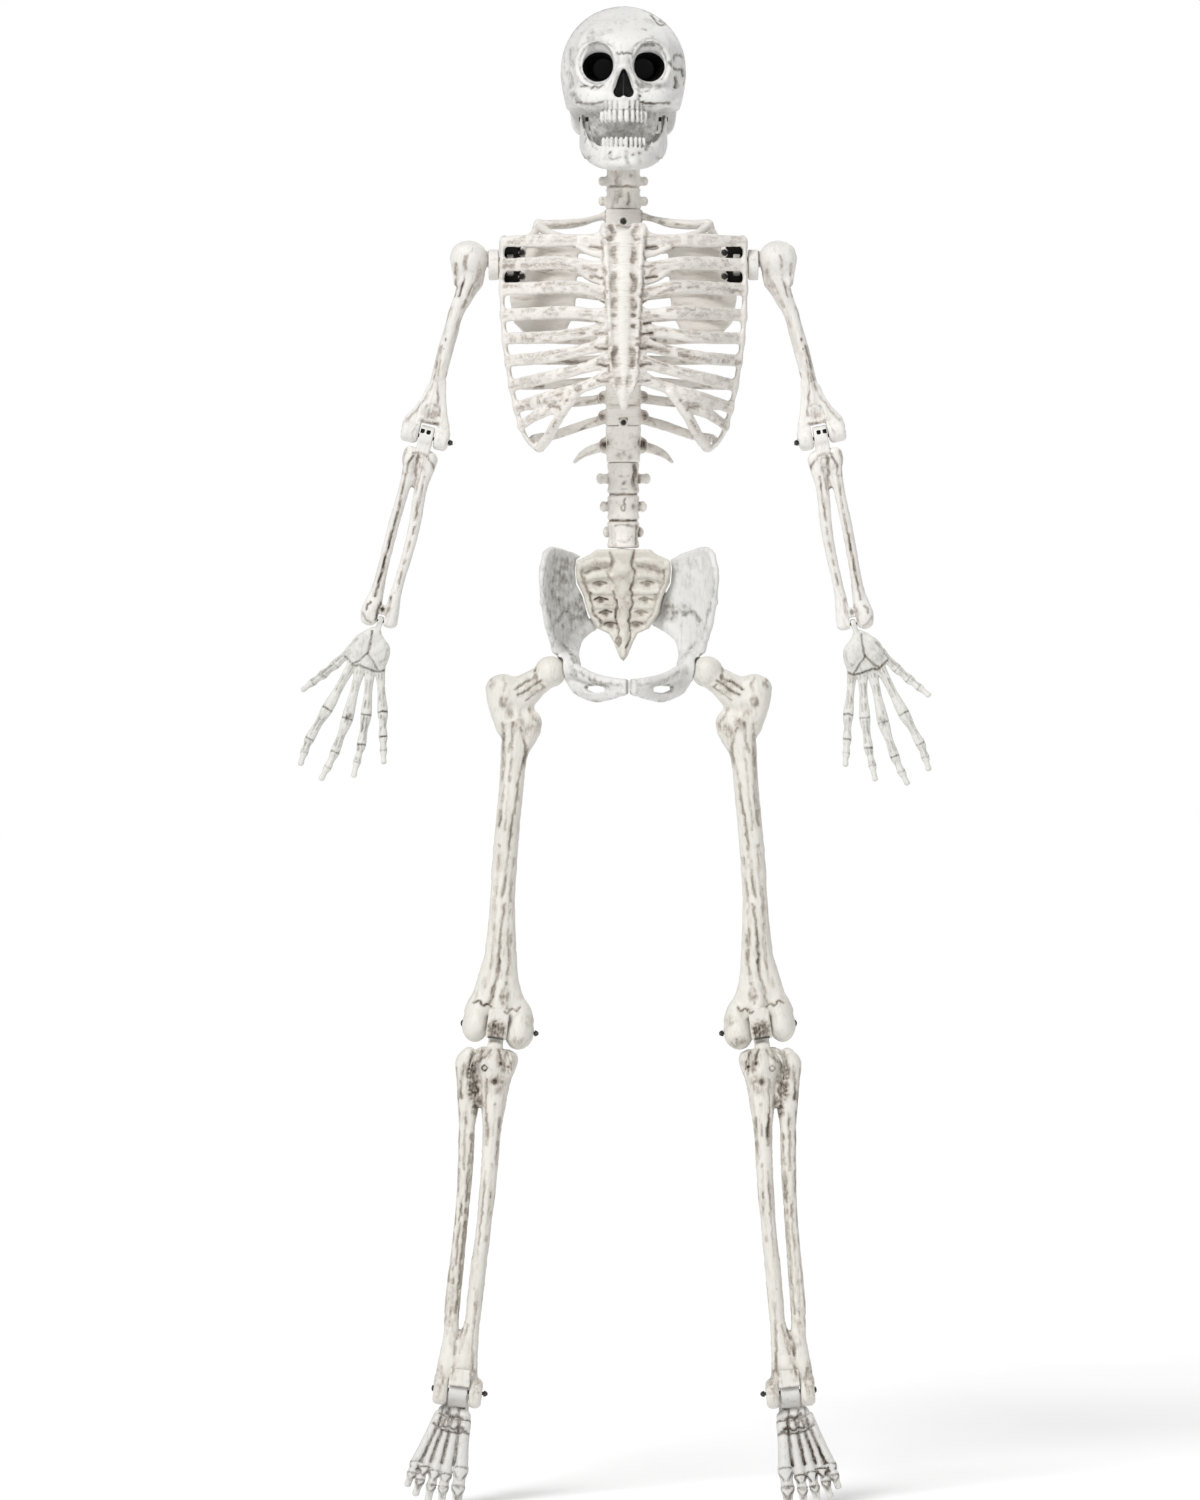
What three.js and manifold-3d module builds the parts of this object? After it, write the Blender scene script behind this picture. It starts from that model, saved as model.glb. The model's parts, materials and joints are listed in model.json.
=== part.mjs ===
// A life-size posable plastic skeleton that hangs upright with its feet dangling.
// Millimetres, +Z up, face towards -Y, so +X is the figure's own left.
// The origin is where the figure hangs: on the back of the spine, between the shoulder blades.
import * as THREE from 'three';
import { mergeVertices } from 'three/addons/utils/BufferGeometryUtils.js';
import Module from 'manifold-3d';

const wasm = await Module();
wasm.setup();

// ---------------------------------------------------------------- driving dimensions
const gap = 0.3;                 // between two touching pieces
const clearance = 0.5;           // round a turning pin or tongue
const pinRadius = 2.6;
const screwRadius = 1.6;

const spine = { width: 38, back: 0, front: -52, centre: -26, top: 47.9, seam: -193.5, waist: -233.3 };
const spigot = { radius: 8, length: 26 };
const neck = { radius: 18, bottom: 48.4, top: 120, pivot: 134, postRadius: 9 };

const skull = { y: -35, z: 200, rx: 69, ry: 85, rz: 69, wall: 3.5, floor: 165 };
const jaw = { x: 45, y: -42, z: 148, half: 3 };

const rail = { split: -85, depth: 9 };
const housing = { inner: 108, outer: 141, wall: 7.5, top: 14, bottom: -43, back: -56 };

const shoulder = { x: 171, y: -72, z: -9.5, headRadius: 20.5 };
const stub = { z: -16, drumRadius: 17, inner: 141.6, face: 149.3, discRadius: 12, axle: 8 };
const shoulderTongue = { radius: 9, half: 4 };

const arm = { upper: 203, lower: 214 };
const armTilt = { upper: 13.3, lower: { left: 10.2, right: 14.2 }, hand: { left: 17.6, right: 19.5 } };
const elbow = { offset: 0.9, tongueHalf: 7.6, tongueRadius: 12.5, lobeRadius: 13 };
const wrist = { pivot: 210, tongueHalf: 3, tongueRadius: 5.5, pinRadius: 1.5 };

const hip = { x: 87.2, y: -50, z: -466.6, shift: 6, ballRadius: 17.5 };
const leg = { upper: 400, lower: 405.5 };
const legTilt = { upper: 8.2, lower: { left: 4.9, right: 6.4 } };
const knee = { offset: 2, tongueHalf: 8.5, tongueRadius: 14, lobeRadius: 20 };
const ankle = { tongueHalf: 10.6, tongueRadius: 13, lobeRadius: 16 };
const footDrop = 55;             // toes below the horizontal

// ---------------------------------------------------------------- materials
const plastic = (color) => new THREE.MeshStandardMaterial({ color, roughness: 0.62, metalness: 0 });
const bone = {
  skull: plastic(0xd9d6d0),
  ribs: plastic(0xdcd6cb),
  spine: plastic(0xd2d1cc),
  pelvis: plastic(0xd0d1d0),
  arm: plastic(0xdcd8cf),
  leg: plastic(0xd8d6c8),
};
const steel = new THREE.MeshStandardMaterial({ color: 0x4a4a4c, roughness: 0.45, metalness: 0.9 });

// ---------------------------------------------------------------- solids
const Y_AXIS = new THREE.Vector3(0, 1, 0);
const Z_AXIS = new THREE.Vector3(0, 0, 1);
const radians = THREE.MathUtils.degToRad;

function weld(geometry) {
  geometry.deleteAttribute('normal');
  geometry.deleteAttribute('uv');
  return mergeVertices(geometry, 1e-4);
}

function toSolid(geometry) {
  const welded = weld(geometry);
  return new wasm.Manifold(new wasm.Mesh({
    numProp: 3,
    vertProperties: new Float32Array(welded.attributes.position.array),
    triVerts: new Uint32Array(welded.index.array),
  }));
}

function toGeometry(solid) {
  const mesh = solid.getMesh();
  const geometry = new THREE.BufferGeometry();
  geometry.setAttribute('position', new THREE.BufferAttribute(new Float32Array(mesh.vertProperties), 3));
  geometry.setIndex(new THREE.BufferAttribute(new Uint32Array(mesh.triVerts), 1));
  return geometry;
}

// The same solid turned about the Y axis through the origin.
const turned = (solid, degrees) => toSolid(toGeometry(solid).rotateY(radians(degrees)));

const join = (...solids) => solids.reduce((whole, solid) => whole.add(solid));
const cut = (solid, ...tools) => tools.reduce((rest, tool) => rest.subtract(tool), solid);

// A smooth tapering bar. Each point is [x, y, z, half width, half depth];
// the width lies square to the path and to the direction `hint`.
function limb(points, { sides = 6, steps = 6, hint = Y_AXIS, cap = 0.5 } = {}) {
  const path = new THREE.CatmullRomCurve3(points.map(([x, y, z]) => new THREE.Vector3(x, y, z)));
  const girth = new THREE.CatmullRomCurve3(points.map(([, , , a, b = a]) => new THREE.Vector3(a, b, 0)));
  const tube = weld(new THREE.CylinderGeometry(1, 1, 1, sides, steps));
  const position = tube.attributes.position;
  const vertex = new THREE.Vector3();
  for (let i = 0; i < position.count; i += 1) {
    vertex.fromBufferAttribute(position, i);
    const t = THREE.MathUtils.clamp(0.5 - vertex.y, 0, 1);
    const onAxis = Math.hypot(vertex.x, vertex.z) < 0.5;
    const tangent = path.getTangent(t);
    const across = new THREE.Vector3().crossVectors(hint, tangent).normalize();
    const deep = new THREE.Vector3().crossVectors(tangent, across);
    const size = girth.getPoint(t);
    const place = path.getPoint(t);
    if (onAxis) {
      place.addScaledVector(tangent, Math.sign(t - 0.5) * cap * Math.min(size.x, size.y));
    } else {
      place.addScaledVector(across, vertex.x * size.x).addScaledVector(deep, vertex.z * size.y);
    }
    position.setXYZ(i, place.x, place.y, place.z);
  }
  return toSolid(tube);
}

function blob(x, y, z, rx, ry = rx, rz = rx, sides = 8, rings = 6) {
  const sphere = new THREE.SphereGeometry(1, sides, rings);
  sphere.rotateX(Math.PI / 2);
  sphere.scale(rx, ry, rz);
  sphere.translate(x, y, z);
  return toSolid(sphere);
}

function block(x0, x1, y0, y1, z0, z1) {
  const box = new THREE.BoxGeometry(Math.abs(x1 - x0), Math.abs(y1 - y0), Math.abs(z1 - z0));
  box.translate((x0 + x1) / 2, (y0 + y1) / 2, (z0 + z1) / 2);
  return toSolid(box);
}

// A round bar from one point to another.
function rod(from, to, radius, sides = 8, endRadius = radius) {
  const start = new THREE.Vector3(...from);
  const end = new THREE.Vector3(...to);
  const cylinder = new THREE.CylinderGeometry(endRadius, radius, start.distanceTo(end), sides);
  const direction = end.clone().sub(start).normalize();
  cylinder.applyQuaternion(new THREE.Quaternion().setFromUnitVectors(Y_AXIS, direction));
  cylinder.translate(...start.add(end).multiplyScalar(0.5).toArray());
  return toSolid(cylinder);
}

function extruded(outline, depth) {
  const shape = new THREE.Shape(outline.map(([u, v]) => new THREE.Vector2(u, v)));
  return new THREE.ExtrudeGeometry(shape, { depth, bevelEnabled: false, steps: 1 });
}

// A flat plate whose outline [x, z] lies square to Y, between two depths.
function plate(outline, y0, y1) {
  const geometry = extruded(outline, Math.abs(y1 - y0));
  geometry.rotateX(Math.PI / 2);
  geometry.translate(0, Math.max(y0, y1), 0);
  return toSolid(geometry);
}

// A flat plate whose outline [y, z] lies square to X, between two widths.
function plateX(x0, x1, outline) {
  const geometry = extruded(outline, Math.abs(x1 - x0));
  geometry.rotateX(Math.PI / 2);
  geometry.rotateZ(Math.PI / 2);
  geometry.translate(Math.min(x0, x1), 0, 0);
  return toSolid(geometry);
}

// An upright prism whose outline [x, y] lies level, between two heights.
function prism(outline, z0, z1) {
  const geometry = extruded(outline, z1 - z0);
  geometry.translate(0, 0, z0);
  return toSolid(geometry);
}

const mirrored = (points) => points.map(([x, ...rest]) => [-x, ...rest]).reverse();

function part(name, solid, material) {
  const mesh = new THREE.Mesh(toGeometry(solid), material);
  mesh.name = name;
  return mesh;
}

// ---------------------------------------------------------------- fasteners
// A round-headed screw; its head sits on `at` and it runs along `into`.
function screw(at, into, headRadius = 3.4, headHeight = 1.8, length = 9) {
  const seat = new THREE.Vector3(...at);
  const direction = new THREE.Vector3(...into);
  const top = seat.clone().addScaledVector(direction, -headHeight);
  const tip = seat.clone().addScaledVector(direction, length);
  return join(
    rod(top.toArray(), seat.toArray(), headRadius * 0.7, 8, headRadius),
    rod(top.addScaledVector(direction, headHeight / 2).toArray(), tip.toArray(), screwRadius, 6),
  );
}

const screwHole = (at, into, length = 9.5) => rod(
  new THREE.Vector3(...at).addScaledVector(new THREE.Vector3(...into), -4).toArray(),
  new THREE.Vector3(...at).addScaledVector(new THREE.Vector3(...into), length).toArray(),
  screwRadius + gap, 6,
);

// A pivot bolt along X: head on the outer side, wing nut on the inner side of the limb.
const headHeight = 2.6;
const nut = { hub: 4.6, height: 4.2, wing: 9, wingThickness: 2 };

function bolt(side, outer, inner, z) {
  return join(
    rod([side * outer, 0, z], [side * (outer + headHeight), 0, z], 4.6),
    rod([side * (outer + 1), 0, z], [side * (inner - nut.height - 2.5), 0, z], pinRadius),
  );
}

function wingNut(side, inner, z) {
  const near = side * (inner - gap);
  const far = side * (inner - gap - nut.height);
  const wings = [1, -1].map((way) => block(
    near - side * 1.2, far - side * 3.4, -nut.wingThickness / 2, nut.wingThickness / 2,
    z + way * (nut.hub - 1), z + way * nut.wing,
  ));
  const body = join(rod([near, 0, z], [far, 0, z], nut.hub), ...wings);
  return cut(body, rod([near + side, 0, z], [far - side * 6, 0, z], pinRadius + gap));
}

// ---------------------------------------------------------------- head
function cranium() {
  const brain = blob(0, skull.y, skull.z, skull.rx, skull.ry, skull.rz, 16, 10);
  const face = limb([
    [0, -92, 236, 44, 24],
    [0, -98, 212, 55, 25],
    [0, -98, 190, 50, 26],
    [0, -98, 168, 34, 25],
    [0, -100, 152, 25, 22],
    [0, -100, 141, 23, 19],
  ], { sides: 8, steps: 4, cap: 0 });
  const cheeks = [1, -1].map((side) => limb([
    [side * 30, -112, 170, 8, 12],
    [side * 50, -104, 172, 7, 12],
    [side * 60, -82, 174, 5, 8],
    [side * 62, -50, 172, 4, 6],
  ], { steps: 3, hint: Z_AXIS }));
  const inside = [skull.rx, skull.ry, skull.rz].map((radius) => radius - skull.wall);
  const belowFloor = block(-80, 80, -200, 100, 100, skull.floor);
  const cavity = cut(blob(0, skull.y, skull.z, ...inside, 10, 6), belowFloor);
  const eyes = [1, -1].map((side) => rod([side * 29, -136, 202], [side * 17, -80, 200], 16.5, 8, 7));
  const nose = plate([[0, 199], [11, 173], [6, 168], [-6, 168], [-11, 173]], -140, -96);
  const ramusRoom = [1, -1].map((side) => block(side * (jaw.x - 4), side * 80, -78, -12, 100, 159));
  const jawPinHoles = [1, -1].map((side) => rod(
    [side * (jaw.x - 12), jaw.y, jaw.z], [side * jaw.x, jaw.y, jaw.z], pinRadius + gap,
  ));
  const underPalate = block(-38, 38, -118, -62, 100, 150);
  const foramen = rod([0, spine.centre, 100], [0, spine.centre, 176], 20, 12);
  const neckPinHole = rod([-27, spine.centre, neck.pivot], [27, spine.centre, neck.pivot], pinRadius + gap);
  const shell = join(cut(brain, cavity), cut(join(face, ...cheeks), cavity));
  return cut(shell, underPalate, foramen, neckPinHole, nose, ...eyes, ...ramusRoom, ...jawPinHoles);
}

function mandible() {
  const half = [
    [0, -121, 104, 6, 12.5], [20, -114, 104, 6, 12], [36, -92, 108, 5.5, 11], [44, -56, 115, 4.5, 12],
  ];
  const body = limb([...mirrored(half), ...half.slice(1)], { steps: 10, hint: Z_AXIS });
  const halfTeeth = [[0, -119, 119, 3.5, 8], [18, -113, 119, 3.5, 8], [26, -98, 119, 3.5, 7]];
  const teeth = limb([...mirrored(halfTeeth), ...halfTeeth.slice(1)], { sides: 4, steps: 6, hint: Z_AXIS });
  const rami = [1, -1].map((side) => plateX(side * (jaw.x - jaw.half), side * (jaw.x + jaw.half), [
    [-60, 104], [-42, 102], [-33, 146], [-36, 153], [-45, 154], [-53, 148], [-66, 122],
  ]));
  const pinHoles = rod([-60, jaw.y, jaw.z], [60, jaw.y, jaw.z], pinRadius + clearance);
  return cut(join(body, teeth, ...rami), pinHoles);
}

function neckVertebrae() {
  const column = rod([0, spine.centre, neck.bottom], [0, spine.centre, neck.top], neck.radius, 12, 15);
  const knobs = [57.6, 80.3].flatMap((z) => [1, -1].map((side) => limb([
    [side * 12, spine.centre, z, 4.5, 6], [side * 27, spine.centre + 2, z, 3, 5],
  ], { sides: 5, steps: 1, hint: Z_AXIS })));
  const post = rod([0, spine.centre, neck.top - 2], [0, spine.centre, neck.pivot + 7], neck.postRadius, 10);
  const foot = rod(
    [0, spine.centre, neck.bottom - spigot.length], [0, spine.centre, neck.bottom + 2], spigot.radius, 10,
  );
  const pinHole = rod(
    [-40, spine.centre, neck.pivot], [40, spine.centre, neck.pivot], pinRadius + clearance,
  );
  return cut(join(column, post, foot, ...knobs), pinHole);
}

function head() {
  const group = new THREE.Group();
  group.add(part('cranium', cranium(), bone.skull));
  group.add(part('mandible', mandible(), bone.skull));
  [['left', 1], ['right', -1]].forEach(([name, side]) => {
    const pin = rod([side * (jaw.x - 10), jaw.y, jaw.z], [side * (jaw.x + 4.5), jaw.y, jaw.z], pinRadius);
    group.add(part(`jaw_pin_${name}`, pin, steel));
  });
  group.add(part('neck_vertebrae', neckVertebrae(), bone.spine));
  const neckPin = rod([-26, spine.centre, neck.pivot], [26, spine.centre, neck.pivot], pinRadius);
  group.add(part('neck_pin', neckPin, steel));
  return group;
}

// ---------------------------------------------------------------- torso
// Each front rib: height and depth where it leaves the breastbone, at its middle and at the side rail.
const frontRibs = [
  { start: [20, -134, 2], middle: [84, -122, 10], end: [136, -92, 11], half: 6.5 },
  { start: [20, -142, -29], middle: [69, -136, -18], end: [136, -92, -17.5], half: 6.5 },
  { start: [18, -149, -55], middle: [62, -144, -45], end: [137, -92, -44.5], half: 6 },
  { start: [18, -154, -79], middle: [66, -146, -73], end: [135, -92, -73], half: 6 },
  { start: [15, -158, -91], middle: [84, -142, -100], end: [132, -92, -98.5], half: 5.5 },
  { start: [15, -161, -107], middle: [84, -142, -122], end: [129, -92, -123.5], half: 5.5 },
  { start: [14, -163, -125], middle: [84, -140, -144], end: [124, -92, -150.5], half: 5.5 },
  { start: [13, -164, -143], middle: [84, -134, -166], end: [119, -92, -175], half: 5.5 },
  { start: [66, -144, -171], middle: [94, -122, -184], end: [113, -92, -194.5], half: 4.5 },
];
const railPath = [
  [138, 14], [138, -45], [134, -99], [130, -123], [125, -151], [119, -177], [112, -200], [100, -224],
];

function sideRail(side, y0, y1) {
  const half = Math.abs(y1 - y0) / 2;
  const points = railPath.map(([x, z]) => [side * x, (y0 + y1) / 2, z, 3.2, half]);
  return limb(points, { sides: 4, steps: 5, cap: 0 });
}

function frontRib({ start, middle, end, half }, side) {
  const points = [start, middle, end].map(([x, y, z]) => [side * x, y, z, 4, half]);
  return limb(points, { sides: 4, steps: 3, hint: Z_AXIS });
}

function ribcageFront() {
  const sternum = limb([
    [0, -128, 26, 26, 7], [0, -140, -10, 23, 7], [0, -156, -80, 18, 7],
    [0, -162, -145, 15, 7], [0, -160, -170, 9, 5], [0, -158, -180, 4, 4],
  ], { steps: 4 });
  const sides = [1, -1].flatMap((side) => [
    sideRail(side, rail.split - gap / 2, rail.split - rail.depth),
    ...frontRibs.map((rib) => frontRib(rib, side)),
    limb([
      [side * 56, -148, -160, 4, 5], [side * 74, -136, -186, 4, 5.5],
      [side * 88, -114, -210, 4, 5.5], [side * 99, -92, -223, 4, 5.5],
    ], { sides: 4, steps: 3 }),
  ]);
  const behindSplit = block(-160, 160, rail.split - gap / 2, rail.split + 60, -240, 40);
  return cut(join(sternum, ...sides), behindSplit);
}

// Each back rib: its height at the spine, at the back and at its outer end, and how far out and
// how deep that end lies. The upper three end on the shoulder housing, the others on the side rail.
const backRibs = [
  [2, 12, 6, 122, -58], [-24, -14, -18, 122, -58], [-48, -38, -36, 122, -58],
  [-72, -66, -72, 136, -79], [-96, -94, -98, 134, -79], [-118, -118, -123, 130, -79],
  [-140, -146, -150, 125, -79], [-160, -168, -175, 119, -79], [-181, -202, -215, 105, -79],
];

function backRib([zSpine, zBack, zEnd, xEnd, yEnd], side) {
  return limb([
    [side * 12, -14, zSpine, 4, 5.2],
    [side * 48, 2, (zSpine + zBack) / 2, 4, 5.2],
    [side * xEnd * 0.76, -8, zBack, 4, 5.2],
    [side * (xEnd - 3), yEnd * 0.6, (zBack + zEnd) / 2, 4, 5],
    [side * xEnd, yEnd, zEnd, 3.6, 4.6],
  ], { sides: 4, steps: 4, hint: Z_AXIS, cap: 0 });
}

function shoulderHousing(side) {
  return block(
    side * housing.inner, side * housing.outer, rail.split + gap / 2, housing.back,
    housing.bottom, housing.top,
  );
}

function housingRoom(side) {
  return block(
    side * (housing.inner + housing.wall), side * (housing.outer - housing.wall),
    rail.split - 12, housing.back - 4, housing.bottom + 6, housing.top - 6,
  );
}

function axleHole(side) {
  return rod(
    [side * (housing.outer - housing.wall - 1), shoulder.y, stub.z],
    [side * (housing.outer + 1), shoulder.y, stub.z],
    stub.axle + clearance, 10,
  );
}

// Heights of the screws.
const neckScrew = 33.8;
const tabScrew = -189.7;
const shoulderScrews = [{ name: 'upper', z: -3.3 }, { name: 'lower', z: -29.6 }];
const screwSeat = (side, z) => [side * (housing.inner + 3.8), rail.split + gap / 2 - 0.1, z];

function ribcageBack() {
  const half = spine.width / 2;
  const chamfer = 6;
  const columnOutline = [
    [-half, spine.front], [half, spine.front], [half, spine.back - chamfer], [half - chamfer, spine.back],
    [chamfer - half, spine.back], [-half, spine.back - chamfer],
  ];
  const column = prism(columnOutline, spine.seam + gap / 2, spine.top);
  const sides = [1, -1].flatMap((side) => [
    sideRail(side, rail.split + gap / 2, rail.split + rail.depth),
    ...backRibs.map((rib) => backRib(rib, side)),
    shoulderHousing(side),
    // The shoulder blade: a thin plate over the back ribs, with its raised ridge.
    plate([
      [side * 56, 8], [side * 96, 24], [side * 120, 14],
      [side * 112, -18], [side * 84, -112], [side * 74, -108],
    ], -2, 6),
    limb([[side * 60, 7, -2, 3, 4], [side * 124, -8, 12, 4, 5], [side * 136, -62, 8, 5, 6]],
      { sides: 5, steps: 4, hint: Z_AXIS }),
    // The collar bone: a strut from the neck block to a knob, then down to the first rib.
    limb([[side * 14, -40, 38, 4, 4], [side * 54, -70, 29, 3.4, 3.4], [side * 94, -76, 28.5, 3.6, 3.6]],
      { sides: 5, steps: 3, hint: Z_AXIS }),
    limb([[side * 94, -76, 28.5, 5, 5], [side * 112, -76, 22, 4, 4], [side * 126, -76, 12, 4, 4]],
      { sides: 5, steps: 2 }),
  ]);
  const bore = rod(
    [0, spine.centre, spine.top + 1], [0, spine.centre, spine.top - spigot.length - 2],
    spigot.radius + clearance, 10,
  );
  const topScrew = screwHole([0, spine.front, neckScrew], [0, 1, 0]);
  const bottomScrew = screwHole([0, spine.front, tabScrew], [0, 1, 0]);
  const tabRecess = block(-6, 6, spine.front - 1, spine.front + 3.4, -196, -184);
  const screws = [1, -1].flatMap(
    (side) => shoulderScrews.map(({ z }) => screwHole(screwSeat(side, z), [0, 1, 0])),
  );
  const axles = [1, -1].map((side) => axleHole(side));
  const aheadOfSplit = [1, -1].map(
    (side) => block(side * 90, side * 160, rail.split + gap / 2, -130, -240, 18),
  );
  const holes = [bore, topScrew, bottomScrew, tabRecess, ...screws, ...axles];
  const whole = cut(join(column, ...sides), ...aheadOfSplit, ...holes);
  const drumRoom = [1, -1].map((side) => rod(
    [side * housing.outer, shoulder.y, stub.z], [side * 160, shoulder.y, stub.z], stub.drumRadius + 1, 14,
  ));
  return cut(whole, ...drumRoom, housingRoom(1), housingRoom(-1));
}

function waistBlock() {
  const half = spine.width / 2;
  const body = block(-half, half, spine.front, spine.back - 4, spine.waist + gap / 2, spine.seam - gap / 2);
  const tab = block(-4.8, 4.8, spine.front, spine.front + 3, spine.seam - 6, -187.6);
  const ribs = [1, -1].map((side) => limb([
    [side * 12, -20, -212, 4, 5.5], [side * 34, -12, -218, 3.6, 5], [side * 54, -22, -232, 2, 2.4],
  ], { sides: 5, steps: 3, hint: Z_AXIS }));
  const bore = rod(
    [0, spine.centre, spine.waist - 1], [0, spine.centre, spine.waist + spigot.length + 2],
    spigot.radius + clearance, 10,
  );
  const tabHole = rod(
    [0, spine.front - 2, tabScrew], [0, spine.front + 5, tabScrew], screwRadius + gap, 6,
  );
  return cut(join(body, tab, ...ribs), bore, tabHole);
}

function torso() {
  const group = new THREE.Group();
  group.add(part('ribcage_front', ribcageFront(), bone.ribs));
  group.add(part('ribcage_back', ribcageBack(), bone.ribs));
  group.add(part('waist_block', waistBlock(), bone.spine));
  group.add(part('neck_screw', screw([0, spine.front - gap, neckScrew], [0, 1, 0]), steel));
  group.add(part('waist_screw', screw([0, spine.front - gap, tabScrew], [0, 1, 0]), steel));
  [['left', 1], ['right', -1]].forEach(([name, side]) => shoulderScrews.forEach((place) => {
    const [x, y, z] = screwSeat(side, place.z);
    group.add(part(`shoulder_screw_${place.name}_${name}`, screw([x, y - gap, z], [0, 1, 0]), steel));
  }));
  return group;
}

// ---------------------------------------------------------------- spine and pelvis
const lumbarTop = spine.waist - gap / 2;
const vertebrae = [
  { top: lumbarTop, bottom: -267, knobs: -251, reach: 30 },
  { top: -271, bottom: -296, knobs: -282, reach: 25.5 },
  { top: -300, bottom: -328.4, knobs: -311, reach: 22 },
];

function lumbarSpine() {
  const pieces = vertebrae.flatMap(({ top, bottom, knobs, reach }) => [
    rod([0, spine.centre, bottom], [0, spine.centre, top], 17.6, 12),
    ...[1, -1].map((side) => limb([
      [side * 10, spine.centre + 4, knobs, 4, 5.5], [side * reach, spine.centre + 6, knobs, 3, 4.5],
    ], { sides: 5, steps: 1, hint: Z_AXIS })),
  ]);
  const core = rod([0, spine.centre, -328.4], [0, spine.centre, lumbarTop - 1], 14.5, 8);
  const peg = rod(
    [0, spine.centre, lumbarTop - 2], [0, spine.centre, lumbarTop + spigot.length], spigot.radius, 10,
  );
  return join(core, peg, ...pieces);
}

const sacrumHalf = [
  [0, -328.8], [34, -329.5], [49, -345], [49, -359], [40, -393], [29, -417], [12, -427], [0, -455.5],
];

function sacrum() {
  const outline = [...sacrumHalf, ...mirrored(sacrumHalf.slice(1, -1))];
  const slab = plate(outline, -70, 0);
  // A slice that bows backwards and brings the tip forward gives the bone its curve.
  const bow = limb([
    [0, -32, -322, 60, 15], [0, -20, -370, 60, 12], [0, -24, -415, 60, 9], [0, -42, -460, 60, 5],
  ], { sides: 4, steps: 6, cap: 0 });
  return slab.intersect(bow);
}

// One hip bone, on the +X side of its own middle.
function hipBone(side) {
  const wingHint = new THREE.Vector3(-0.82, side * -0.57, 0);
  const wing = limb([
    [side * 76, -52, -334, 20, 4], [side * 77, -52, -345, 36, 4], [side * 76, -52, -362, 40, 4],
    [side * 70, -50, -390, 38, 4.5], [side * 66, -48, -415, 33, 6], [side * 70, -48, -440, 18, 9],
    [side * 70, -49, -462, 13, 13],
  ], { sides: 8, steps: 6, hint: wingHint });
  const upperRamus = limb([
    [side * 68, -52, -458, 9, 9], [side * 40, -84, -467, 6, 6],
    [side * 16, -104, -474, 6, 6], [side * 4, -108, -479, 6, 7],
  ], { steps: 4, hint: Z_AXIS });
  const lowerRamus = limb([
    [side * 66, -48, -470, 8, 7], [side * 58, -40, -487, 7, 6], [side * 40, -60, -496, 6, 5],
    [side * 18, -92, -493, 5, 5], [side * 4, -106, -488, 5, 6],
  ], { steps: 5 });
  const meeting = block(side * gap / 2, side * 9, -113, -98, -492, -475);
  const pastMiddle = block(side * gap / 2, side * -40, -200, 60, -600, -300);
  const roomRadius = hip.ballRadius + 1;
  const ballRoom = blob(side * hip.x, hip.y, hip.z, roomRadius, roomRadius, roomRadius, 12, 8);
  const sweep = rod([side * (hip.x - 14), hip.y, hip.z], [side * (hip.x + 60), hip.y, hip.z], 16, 12);
  const pinHole = rod([side * 58, hip.y, hip.z], [side * 90, hip.y, hip.z], pinRadius + gap);
  return cut(join(wing, upperRamus, lowerRamus, meeting), pastMiddle, ballRoom, sweep, pinHole);
}

// The sacrum's room in the hip bones, which sit a little to one side of it.
function hipBones() {
  const half = [[0, -320], [50, -320], [51.5, -345], [51.5, -360], [42, -394], [30, -420], [0, -460]];
  const outline = [...half, ...mirrored(half.slice(1, -1))].map(([x, z]) => [x - hip.shift, z]);
  const sacrumRoom = plate(outline, -70, 10);
  return [['left', 1], ['right', -1]].map(([name, side]) => {
    const mesh = part(`hip_bone_${name}`, cut(hipBone(side), sacrumRoom), bone.pelvis);
    mesh.position.x = hip.shift;
    return mesh;
  });
}

function pelvis() {
  const group = new THREE.Group();
  group.add(part('lumbar_spine', lumbarSpine(), bone.spine));
  group.add(part('sacrum', sacrum(), bone.pelvis));
  group.add(...hipBones());
  [['left', 1], ['right', -1]].forEach(([name, side]) => {
    const bar = rod([side * 60, hip.y, hip.z], [side * 84, hip.y, hip.z], pinRadius);
    const pin = part(`hip_pin_${name}`, bar, steel);
    pin.position.x = hip.shift;
    group.add(pin);
  });
  return group;
}

// ---------------------------------------------------------------- arms
// Every limb bone is drawn in its own frame: the upper joint at the origin, the bone running down -Z,
// and `at` giving a point by its distance outwards, its depth and its distance down the bone.
const placer = (side) => (outwards, depth, down, width, thickness = width) => (
  [side * outwards, depth, -down, width, thickness]
);

function shoulderStub(side) {
  const y = shoulder.y;
  const drum = rod([side * stub.inner, y, stub.z], [side * stub.face, y, stub.z], stub.drumRadius, 14);
  const keeperStart = housing.inner + housing.wall + 6;
  const axle = rod([side * keeperStart, y, stub.z], [side * (stub.inner + 1), y, stub.z], stub.axle, 10);
  const keeperEnd = keeperStart + 8;
  const keeper = rod([side * keeperStart, y, stub.z], [side * keeperEnd, y, stub.z], stub.discRadius, 10);
  const { radius, half } = shoulderTongue;
  const tongue = join(
    rod([side * shoulder.x, y - half, shoulder.z], [side * shoulder.x, y + half, shoulder.z], radius, 12),
    block(
      side * (stub.face - 2), side * shoulder.x, y - half, y + half,
      shoulder.z - radius, shoulder.z + radius,
    ),
  );
  const pinHole = rod(
    [side * shoulder.x, y - 20, shoulder.z], [side * shoulder.x, y + 20, shoulder.z],
    pinRadius + clearance,
  );
  return cut(join(drum, axle, keeper, tongue), pinHole);
}

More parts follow.
